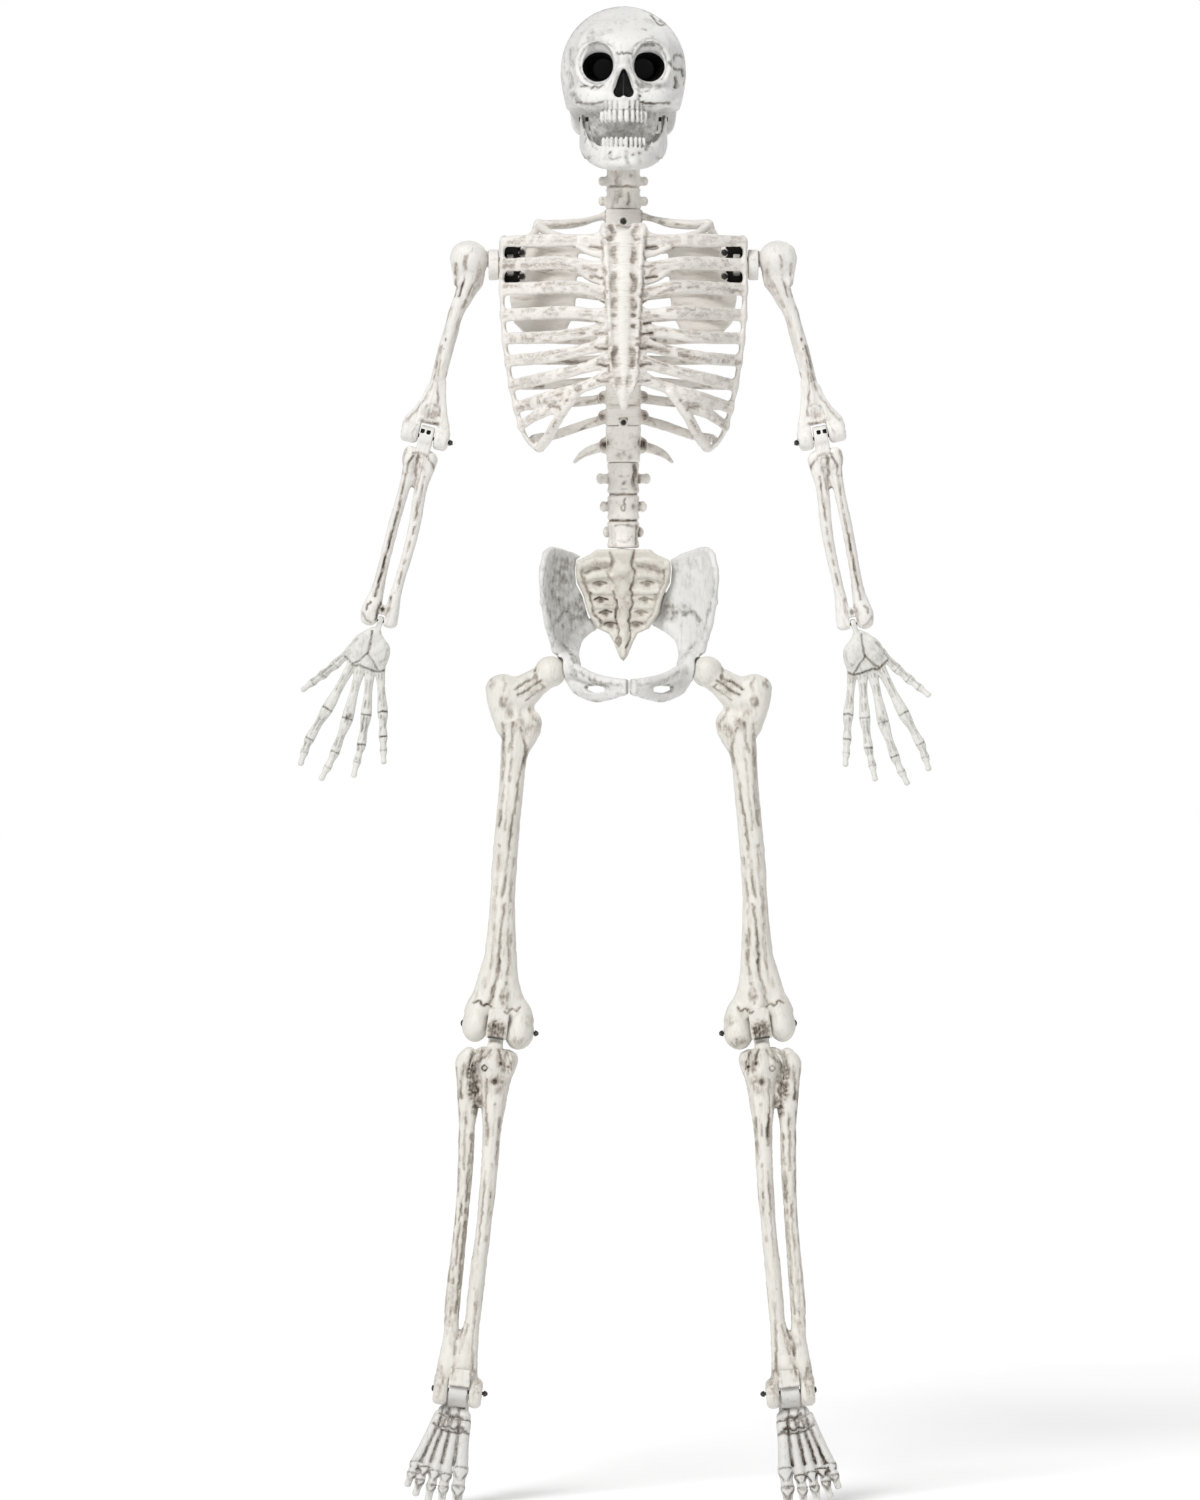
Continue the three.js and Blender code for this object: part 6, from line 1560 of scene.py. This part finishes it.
def shin():
    clay = Clay((-34, -22, -430), (48, 22, 18), 1.3)
    clay.add(shaft([
        (22.5, 0.4, 15, 11, 0), (26, 0.4, 22.4, 14, 0), (33, 0.4, 25.4, 15, 0), (40, -1, 23.6, 15.2, 0),
        (54, -2.6, 18, 14.4, 0), (70, -3.4, 14.8, 13.4, 0), (93, -3.8, 13, 12.4, 0),
        (113, -4.6, 10.6, 11.8, 0), (160, -7, 9.6, 11, 0), (223, -7.8, 8.6, 10.6, 0),
        (265, -7, 9, 10.6, 0), (303, -7, 9, 10.8, 0), (328, -6.8, 9, 11.2, 0), (345, -4, 12.6, 11.6, 0),
        (358, -1, 16, 12, 0), (374, 2, 20, 12, 0), (388, 3, 22.6, 12, 0), (399, 2.4, 23.4, 11.6, 0),
    ]))
    clay.add(bar(down([(1, -8, 30, 9, 7), (0, -10, 42, 9, 6), (-2, -9, 60, 6, 5),
                       (-3.4, -6, 90, 4, 4)])), blend=4)
    clay.add(beam(down([
        (29.4, 1, 33, 8.6, 9), (33, 2, 43, 11, 11), (29, 2, 66, 11, 9.6), (24.4, 2, 92, 11.4, 8.6),
        (23.4, 2, 108, 9.4, 8), (20.6, 2, 148, 8.8, 7.6), (18.8, 2, 180, 8, 7.2),
        (17.8, 2, 222, 7.6, 7), (17.4, 2, 265, 8.2, 7), (17.4, 2, 303, 8.6, 7.4),
        (16.2, 1, 330, 8.6, 8.6), (14, 0, 350, 9.4, 10), (15, 0, 372, 11, 11), (16.6, 0, 394, 10, 11),
    ])), blend=2)
    clay.add(brick((4, -3, -90), (20, 5, -30), 2), brick((-8, -9, -396), (17, 9, -350), 3), blend=3)
    for start, end in ((11.9, 27.5), (-26.5, -11.9)):
        clay.add(drum((start, 0, -406.5), (end, 0, -406.5), 16.4, 6), blend=4)
    clay.cut(bar(down([(25, -14, 48, 4, 5), (20, -14, 70, 4.6, 6), (13.5, -13, 92, 3, 4)])), blend=4)
    clay.cut(drum((-70, 0, 0), (70, 0, 0), 21.4, 0.5), blend=1)
    clay.add(drum((-6.2, 0, 0), (10.2, 0, 0), 13.8, 1.6), brick((-6.2, -11, -36), (10.2, 11, -6), 1.6),
             blend=1)
    clay.add(beam(down([(2, -9, 17, 7.4, 5), (2, -13, 24, 8.6, 6), (1.4, -14, 36, 9, 6),
                        (0, -10, 50, 8, 6)])), blend=2)
    # Folds that run down from the knee, as in clay pressed round the joint.
    for x, lean in ((-15, -3), (-8, 2), (9, 4), (17, 9)):
        clay.add(bar(down([(x, -14, 26, 2, 2), (x + lean * 0.5, -15.4, 34, 2.6, 2.6),
                           (x + lean, -13, 46, 2, 2)])), blend=2.4)
    clay.cut(bore(0, TONGUE_BORE), bore(405.5, FORK_BORE))
    clay.cut(brick((-11.8, -50, -470), (11.8, 50, -391), 0.8))
    clay.add(brick((-11.8, -17, -399.4), (11.8, -13.8, -380), 1.2), blend=1.5)
    marks = lines(
        ([(-3, 24), (-7, 34), (-12, 42)], 1.8, 1.0, 0.8, 0.2),
        ([(6, 24), (13, 34), (22, 42)], 1.8, 1.0, 0.75, 0.2),
        ([(-11, 25), (-16, 34), (-18, 44)], 1.6, 0.9, 0.7, 0.3),
        ([(14, 25), (22, 30), (27, 40)], 1.6, 0.9, 0.75, 0.2),
        ([(26, 28), (25, 44), (20, 60), (17, 86)], 1.6, 1.0, 0.75, 0.2),
        ([(8, 44), (11, 42), (13, 46), (10, 48), (8, 44)], 0.9, 0.5, 0.9, 0.0),
        ([(7, 58), (6, 76), (4, 96)], 1.6, 0.9, 0.6, 0.3),
        ([(34, 50), (35, 66), (33, 82)], 2.0, 0.8, 0.7, 0.6),
        ([(-5, 84), (-7, 100), (-7, 118)], 1.6, 0.7, 0.5, 0.5),
        ([(3, 96), (1, 112), (0, 130)], 1.9, 0.9, 0.85, 0.3),
        ([(-12, 98), (-13.6, 124), (-14, 150)], 2.0, 0.8, 0.7, 0.4),
        ([(-9, 150), (-12, 190), (-12, 236)], 1.7, 0.7, 0.6, 0.6),
        ([(-3, 160), (-4, 210), (-4, 250), (-5, 290)], 1.6, 0.7, 0.5, 0.6),
        ([(26, 96), (24, 130), (21, 160)], 1.8, 0.8, 0.6, 0.5),
        ([(16, 120), (14.6, 170), (13.6, 210), (12, 260), (12, 320)], 2.2, 0.9, 0.65, 0.5),
        ([(20, 190), (19, 240), (20, 290), (18, 330)], 1.9, 0.7, 0.6, 0.5),
        ([(-9, 290), (-10, 330), (-12, 364), (-17, 390)], 2.0, 0.7, 0.6, 0.5),
        ([(2, 322), (5, 342), (9, 352), (8, 364)], 1.8, 1.0, 0.85, 0.2),
        ([(-2, 330), (0, 350), (3, 362)], 1.7, 0.9, 0.65, 0.3),
        ([(9, 358), (8, 376), (9, 392)], 2.0, 0.7, 0.5, 0.4),
        ([(-12, 366), (-12.6, 384)], 2.6, 0.5, 0.5, 0.3),
        # Painted shadow: a black line under the lip at the front of the ankle.
        ([(-11, 400), (0, 400), (11, 400)], 1.3, 0.0, 1.0, 0.0),
        ([(22, 380), (18, 396), (22, 414)], 2.2, 0.6, 0.5, 0.4), wobble=1.3)
    marks += [spot(-7, 38, 3.0, wash=1.0), spot(-15.6, 41, 2.2, wash=0.9), spot(-2, 59, 4.4, wash=0.9)]
    marks += lines(([(-2, 50), (0, 120), (-2, 190)], 2.4, 0.8, 0.55, 0.6),
                   ([(1, 200), (-1, 280), (1, 370)], 2.4, 0.8, 0.55, 0.6), faces=BACK_AND_SIDES, wobble=1.6)
    cast = Cast(clay, marks, grain=(7, 7, 60), hollow_wash=0.75, relief=0.55, streaks=0.26, seed=53)
    roughen(cast, [((-6, -62), (10, 12), 0.6), ((-12, -42), (6, 8), 0.7), ((0, -28), (22, 8), 0.45),
                   ((24, -34), (8, 8), 0.45), ((34, -52), (4, 10), 0.6), ((18, -320), (8, 30), 0.4),
                   ((24, -392), (6, 20), 0.5), ((-20, -392), (6, 20), 0.5), ((6, -350), (12, 12), 0.5)],
            size=3.2, depth=0.5)
    return roughen(cast, [((25, -50), (7, 13), 1.2), ((20, -68), (8, 16), 1.3), ((14, -87), (7, 15), 1.2)],
                   size=2.3, depth=0.8)


# Each toe: its joints as (outwards, forwards, half width), from the instep to the tip.
TOES = [
    [(-9.5, 26, 8.6), (-12.5, 78, 8.2), (-12, 98, 7.2), (-12.6, 114, 5.2)],
    [(-1, 27, 7.2), (3.4, 86, 6.4), (4.4, 100, 5.6), (4.4, 116, 4.0)],
    [(7, 27, 7), (16, 84, 6.2), (18, 99, 5.4), (19.6, 114, 4.0)],
    [(13, 25, 6.6), (28, 81, 6.0), (31, 95, 5.2), (34, 109, 4.0)],
    [(18, 21, 6.4), (38, 76, 6.0), (41, 88, 5.0), (44, 100, 4.0)],
]


def foot():
    """Toes towards the front, sole down, the ankle pivot at the origin."""
    clay = Clay((-25, -122, -58), (54, 52, 17), 1.1)
    clay.add(bar([(0, 34, -36, 9, 10), (0, 12, -30, 13, 11), (2, -12, -26, 16, 9.4),
                  (5, -32, -26, 18.6, 6.6)]))
    clay.add(ball((0, 38, -40), (10.5, 12.6, 13)), blend=4)
    tarsals = [(-9, -20, 8), (3, -18, 8), (13, -16, 7), (-11, -33, 7.4), (1, -34, 7), (11, -33, 6.6),
               (19, -27, 6)]
    clay.add(*(ball((x, y, -20), (r, r, 6)) for x, y, r in tarsals), blend=1.6)
    marks = []
    for number, ray in enumerate(TOES):
        knots = [(x, -f, -16 - 0.28 * f, half, 0.86 * half) for x, f, half in knuckled(ray, 0.9)]
        clay.add(bar(knots, steps=4), blend=1.2)
        for x, f, half in ray[1:-1]:
            clay.add(ball((x, -f, -15.6 - 0.28 * f), (1.06 * half, 0.9 * half, 0.9 * half)), blend=2)
        for face in ("top", "under", "front"):
            for x, f, _ in ray[1:-1]:
                height = -16 - 0.28 * f
                ends = [(x - 7, -f), (x, -f - 0.6), (x + 7, -f)]
                if face == "front":
                    ends = [(x - 7, height + 2), (x, height + 1), (x + 7, height + 2)]
                marks.append(stroke(ends, face=face, width=1.2, depth=0.9, wash=0.75, broken=0.35,
                                    seed=number))
    # A thin web between the long bones of the foot.
    for (a, b), reach in zip(zip(TOES[:-1], TOES[1:]), (70, 74, 72, 66)):
        for t in (0.0, 0.33, 0.66):
            f = 28 + t * (reach - 28)
            f2 = 28 + (t + 0.34) * (reach - 28)
            u, v = [np.interp(p, (26, 80), ((a[0][0] + b[0][0]) / 2, (a[1][0] + b[1][0]) / 2))
                    for p in (f, f2)]
            clay.add(bar([(u, -f, -17.6 - 0.28 * f, 5.5, 2.2), (v, -f2, -17.6 - 0.28 * f2, 5.5, 2.2)],
                         steps=2), blend=1.5)
    for way in (1, -1):
        clay.cut(drum((way * 10.9, 0, 0), (way * 70, 0, 0), 17.2, 0.4))
    clay.add(drum((-10.4, 0, 0), (10.4, 0, 0), 12.8, 1.2),
             brick((-10.4, -12, -28), (10.4, 10, -4), 1.2), blend=0.6)
    clay.cut(bore(0, TONGUE_BORE))
    for a, b in zip(TOES[:-1], TOES[1:]):
        run = [((a[0][0] + b[0][0]) / 2 + t * ((a[1][0] + b[1][0]) - (a[0][0] + b[0][0])) / 2, -27 - t * 50)
               for t in (0.0, 0.3, 0.6, 0.95)]
        marks.append(stroke(run, face="top", width=1.9, depth=0.7, wash=0.95, broken=0.15))
        marks.append(stroke(run, face="under", width=1.9, depth=0.7, wash=0.8, broken=0.2))
    marks += [
        stroke([(-19, -26), (-10, -27), (0, -26.4), (8, -25), (18, -21)], face="top", width=1.4,
               depth=0.8, wash=0.8),
        stroke([(-18, -40), (-6, -41), (6, -41), (16, -38), (24, -33)], face="top", width=1.4,
               depth=0.8, wash=0.8),
        stroke([(-3, -14), (-4, -26), (-5, -40)], face="top", width=1.3, depth=0.7, wash=0.75),
        stroke([(8, -14), (7, -26), (6, -40)], face="top", width=1.3, depth=0.7, wash=0.75),
        stroke([(15, -14), (15, -24), (14, -38)], face="top", width=1.3, depth=0.7, wash=0.7),
        stroke([(-10.4, -16.4), (0, -17), (10.4, -16.4)], face="front", width=1.6, depth=0.4, wash=0.95),
        stroke([(-8, 30), (0, 36), (8, 30)], face="under", width=2.4, depth=0.3, wash=0.5, broken=0.4),
        stroke([(20, -38), (30, -44), (40, -36)], face="outer", width=2.0, depth=0.4, wash=0.6, broken=0.4),
    ]
    return Cast(clay, marks, grain=(4, 26, 4), hollow_wash=0.65, relief=0.35, streaks=0.35, seed=59)


# ---------------------------------------------------------------- fasteners, about their own axis


def pan_head(radius=2.9):
    """A cross-recessed screw whose head faces the front; its seat is at the origin."""
    clay = Clay((-4, -3, -4), (4, 10, 4), 0.28)
    clay.add(ball((0, 0.6, 0), (radius, 2.2, radius))).keep(1, -3, 0.4)
    clay.add(drum((0, 0, 0), (0, 9, 0), 1.45, 0.3), blend=0.2)
    for half in ((1.7, 0.32), (0.32, 1.7)):
        clay.cut(brick((-half[0], -3, -half[1]), (half[0], -0.75, half[1]), 0.1), blend=0.1)
    return Cast(clay, grain=(2, 2, 2), relief=0.04, streaks=0.0, seed=61)


def hinge_bolt(outer, inner):
    """A bolt along X: domed head outside, thread end inside."""
    clay = Clay((inner - 8, -6, -6), (outer + 4, 6, 6), 0.5)
    clay.add(ball((outer, 0, 0), (2.4, 3.8, 3.8))).keep(0, outer + 0.1, 500)
    clay.add(drum((inner - 4.8, 0, 0), (outer + 0.6, 0, 0), 2.0, 0.4), blend=0.2)
    clay.cut(brick((outer + 1.4, -0.5, -2.8), (outer + 4, 0.5, 2.8), 0.1), blend=0.2)
    return Cast(clay, grain=(2, 2, 2), relief=0.03, streaks=0.0, seed=67)


def wing_nut(inner):
    clay = Clay((inner - 9, -6, -12), (inner + 1, 6, 12), 0.45)
    clay.add(stack([(inner - 4.0, 0, 0, 2.5, 2.5), (inner - 3.2, 0, 0, 2.9, 2.9),
                    (inner - 0.9, 0, 0, 3.5, 3.5), (inner - 0.4, 0, 0, 3.5, 3.5)], axis=0))
    for way in (1, -1):
        clay.add(bar([(inner - 2.0, 0, way * 2.6, 0.9, 1.4), (inner - 2.8, 0, way * 5.4, 0.8, 1.8),
                      (inner - 3.8, 0, way * 7.4, 0.8, 1.7)], hint=(0, 0, 1)), blend=0.8)
    clay.cut(drum((inner - 20, 0, 0), (inner + 9, 0, 0), 2.2, 0.1), blend=0.1)
    return Cast(clay, grain=(2, 2, 2), relief=0.03, streaks=0.0, seed=71)


# ---------------------------------------------------------------- putting the figure together
for sculpt, piece, body, node, look, slot in (
    (cranium, "skull", "head", "cranium", "skull", "skull_plastic"),
    (mandible, "lower_jaw", "jaw", "mandible", "skull", "skull_plastic"),
    (neck, "neck_bones", "neck", "neck_vertebrae", "spine", "spine_plastic"),
    (ribcage_front, "rib_cage_front", "torso", "ribcage_front", "rib", "rib_plastic"),
    (ribcage_back, "rib_cage_back", "torso", "ribcage_back", "rib", "rib_plastic"),
    (waist_block, "waist", "torso", "waist_block", "spine", "spine_plastic"),
    (lumbar, "lumbar_bones", "pelvis", "lumbar_spine", "spine", "spine_plastic"),
    (sacrum, "sacrum_bone", "pelvis", "sacrum", "sacrum", "pelvis_plastic"),
):
    publish(sculpt(), piece, body, [node], plastic[look])

screw_head = pan_head()
for number, (name, place) in enumerate(SCREWS.items()):
    seat = Matrix.Translation(Vector(place) * MM) @ IN_FRAME
    publish(screw_head, f"{name}_head", "torso", [name], steel, seat, number)

# The middle of the pelvis stands to the left of the sacrum's, in millimetres.
HIP_SHIFT = 6.0
# How far the hands and the shins lean outwards and how far the feet point down, in degrees.
ARM_TILT = {"left": 17.6, "right": 19.5}
SHIN_TILT = {"left": 4.9, "right": 6.4}
FOOT_DROP = 55.0
hip_casts = {"left": hip_bone(HIP_SHIFT, 0.2), "right": hip_bone(-HIP_SHIFT, 1.0)}
stub_cast = shoulder_stub()
humerus_cast, forearm_cast, hand_cast = humerus(), forearm(), hand()
femur_cast, shin_cast, foot_cast = femur(), shin(), foot()
# Where the head of each bolt and its wing nut sit, outwards from the joint.
HINGES = {"elbow": (27.2, -24.4), "knee": (40.8, -39.4), "ankle": (27.8, -27.8)}
NUT_TURN = {"bolt": 0, "wing_nut": 80}
bolts = {name: hinge_bolt(*ends) for name, ends in HINGES.items()}
nuts = {name: wing_nut(inner) for name, (_, inner) in HINGES.items()}


def hinge_hardware(hinge, side_name, body, centre, turn):
    place = Matrix.Translation(centre) @ turn
    for kind, casts in (("bolt", bolts), ("wing_nut", nuts)):
        node = f"{hinge}_{kind}_{side_name}"
        roll = Matrix.Rotation(math.radians(NUT_TURN[kind]), 4, "X")
        publish(casts[hinge], f"{node}_shape", body, [node], steel, place @ roll)


for side_name, side in SIDES.items():
    # The two sides share their casts, so each side's wash is made uneven in its own way.
    seed = 1 if side > 0 else 2
    flip = Matrix.Diagonal((side, 1.0, 1.0, 1.0))
    body = {part: f"{side_name}_{part}" for part in
            ("shoulder", "upper_arm", "forearm", "hand", "thigh", "shin", "foot")}
    joint = {part: JOINT[f"{part}_{side_name}"] for part in
             ("arm_raise", "elbow_bend", "wrist_bend", "hip_swing", "knee_bend", "ankle_bend")}

    hip_place = Matrix.Translation((HIP_SHIFT * MM, 0.0, 0.0)) @ IN_FRAME @ flip
    publish(hip_casts[side_name], f"hip_{side_name}", "pelvis", [f"hip_bone_{side_name}"],
            plastic["pelvis"], hip_place, seed)
    publish(stub_cast, f"shoulder_drum_{side_name}", body["shoulder"], [f"shoulder_stub_{side_name}"],
            plastic["arm"], IN_FRAME @ flip, seed)

    upper = standing(joint["arm_raise"], joint["elbow_bend"], side)
    fore = standing(joint["elbow_bend"], joint["wrist_bend"], side)
    tilt = math.radians(ARM_TILT[side_name])
    palm = standing_along(joint["wrist_bend"], Vector((side * math.sin(tilt), 0.0, -math.cos(tilt))), side)
    thigh = standing(joint["hip_swing"], joint["knee_bend"], side)
    calf = standing(joint["knee_bend"], joint["ankle_bend"], side)
    lean = Matrix.Rotation(-side * math.radians(SHIN_TILT[side_name]), 4, "Y")
    sole = (Matrix.Translation(joint["ankle_bend"]) @ lean @ Matrix.Rotation(math.radians(FOOT_DROP), 4, "X")
            @ IN_FRAME @ flip)
    for cast, piece, part, node, look, slot, place in (
        (humerus_cast, "upper_arm_bone", "upper_arm", "humerus", "arm", "arm_plastic", upper),
        (forearm_cast, "forearm_bones", "forearm", "forearm", "arm", "arm_plastic", fore),
        (hand_cast, "hand_bones", "hand", "hand", "hand", "arm_plastic", palm),
        (femur_cast, "thigh_bone", "thigh", "femur", "leg", "leg_plastic", thigh),
        (shin_cast, "shin_bones", "shin", "shin", "leg", "leg_plastic", calf),
        (foot_cast, "foot_bones", "foot", "foot", "foot", "leg_plastic", sole),
    ):
        publish(cast, f"{piece}_{side_name}", body[part], [f"{node}_{side_name}"], plastic[look],
                place, seed)

    for hinge, owner, centre, bone in (
        ("elbow", "upper_arm", "elbow_bend", upper), ("knee", "thigh", "knee_bend", thigh),
        ("ankle", "shin", "ankle_bend", calf),
    ):
        turn = bone.copy()
        turn.translation = (0.0, 0.0, 0.0)
        hinge_hardware(hinge, side_name, body[owner], joint[centre], turn)

# The pins that stay as they are, deep inside their joints, are given the same steel.
for name, shape in frame["nodes"].items():
    if "_pin" in name:
        shape.data.materials.clear()
        shape.data.materials.append(steel)


# ---------------------------------------------------------------- floor, light and camera
# What the picture is centred on, how high it reaches and how far off the camera stands.
CENTRE, HEIGHT, DISTANCE = Vector((-0.026, -0.08, -0.5535)), 1.6605, 8.0
SENSOR_WIDTH, AMBIENT = 36.0, 0.27
FLOOR_REACH, FLOOR_LEVEL = 60.0, -1.3945
WHITE = grey(1.0)


def floor_material():
    material = bpy.data.materials.new("plain_floor")
    graph = Graph(material)
    cloud = graph.noise(graph.place(), 3.0, 2.0)
    graph.surface(Base_Color=graph.ramp(cloud, [(0.3, grey(0.90)), (0.7, grey(0.93))]), Roughness=0.9,
                  Specular_IOR_Level=0.1, Emission_Color=WHITE, Emission_Strength=0.16)
    return material


def add_floor():
    mesh = bpy.data.meshes.new("floor")
    corners = ((-1, -1), (1, -1), (1, 1), (-1, 1))
    mesh.from_pydata([(FLOOR_REACH * x, FLOOR_REACH * y, FLOOR_LEVEL) for x, y in corners], [],
                     [(0, 1, 2, 3)])
    mesh.materials.append(floor_material())
    floor = bpy.data.objects.new("floor", mesh)
    bpy.context.scene.collection.objects.link(floor)


def add_sun(name, towards, strength, spread):
    light = bpy.data.lights.new(name, "SUN")
    light.energy = strength
    light.angle = math.radians(spread)
    lamp = bpy.data.objects.new(name, light)
    lamp.rotation_euler = Vector(towards).to_track_quat("Z", "Y").to_euler()
    bpy.context.scene.collection.objects.link(lamp)


add_floor()
add_sun("key", (-0.55, -1.0, 1.0), 2.35, 24)
add_sun("fill", (1.0, -0.6, 0.2), 0.3, 60)
add_sun("back", (0.6, 1.0, 0.8), 0.9, 40)

# A white studio: seen as white, but lighting the figure more gently.
world = bpy.data.worlds.new("studio")
studio = Graph(world)
seen = studio.nodes.new("ShaderNodeLightPath").outputs["Is Camera Ray"]
background = studio.nodes["Background"].inputs
studio.feed(background["Strength"], studio.maths("MULTIPLY_ADD", seen, 1.0 - AMBIENT, AMBIENT))
studio.feed(background["Color"], WHITE)
bpy.context.scene.world = world
bpy.context.scene.view_settings.view_transform = "Standard"

camera = bpy.data.objects.new("camera", bpy.data.cameras.new("camera"))
camera.data.lens = SENSOR_WIDTH * DISTANCE / HEIGHT
camera.data.clip_end = 200.0
camera.location = CENTRE + Vector((0.0, -DISTANCE, 0.0))
camera.rotation_euler = (math.radians(90), 0.0, 0.0)
bpy.context.scene.collection.objects.link(camera)
bpy.context.scene.camera = camera
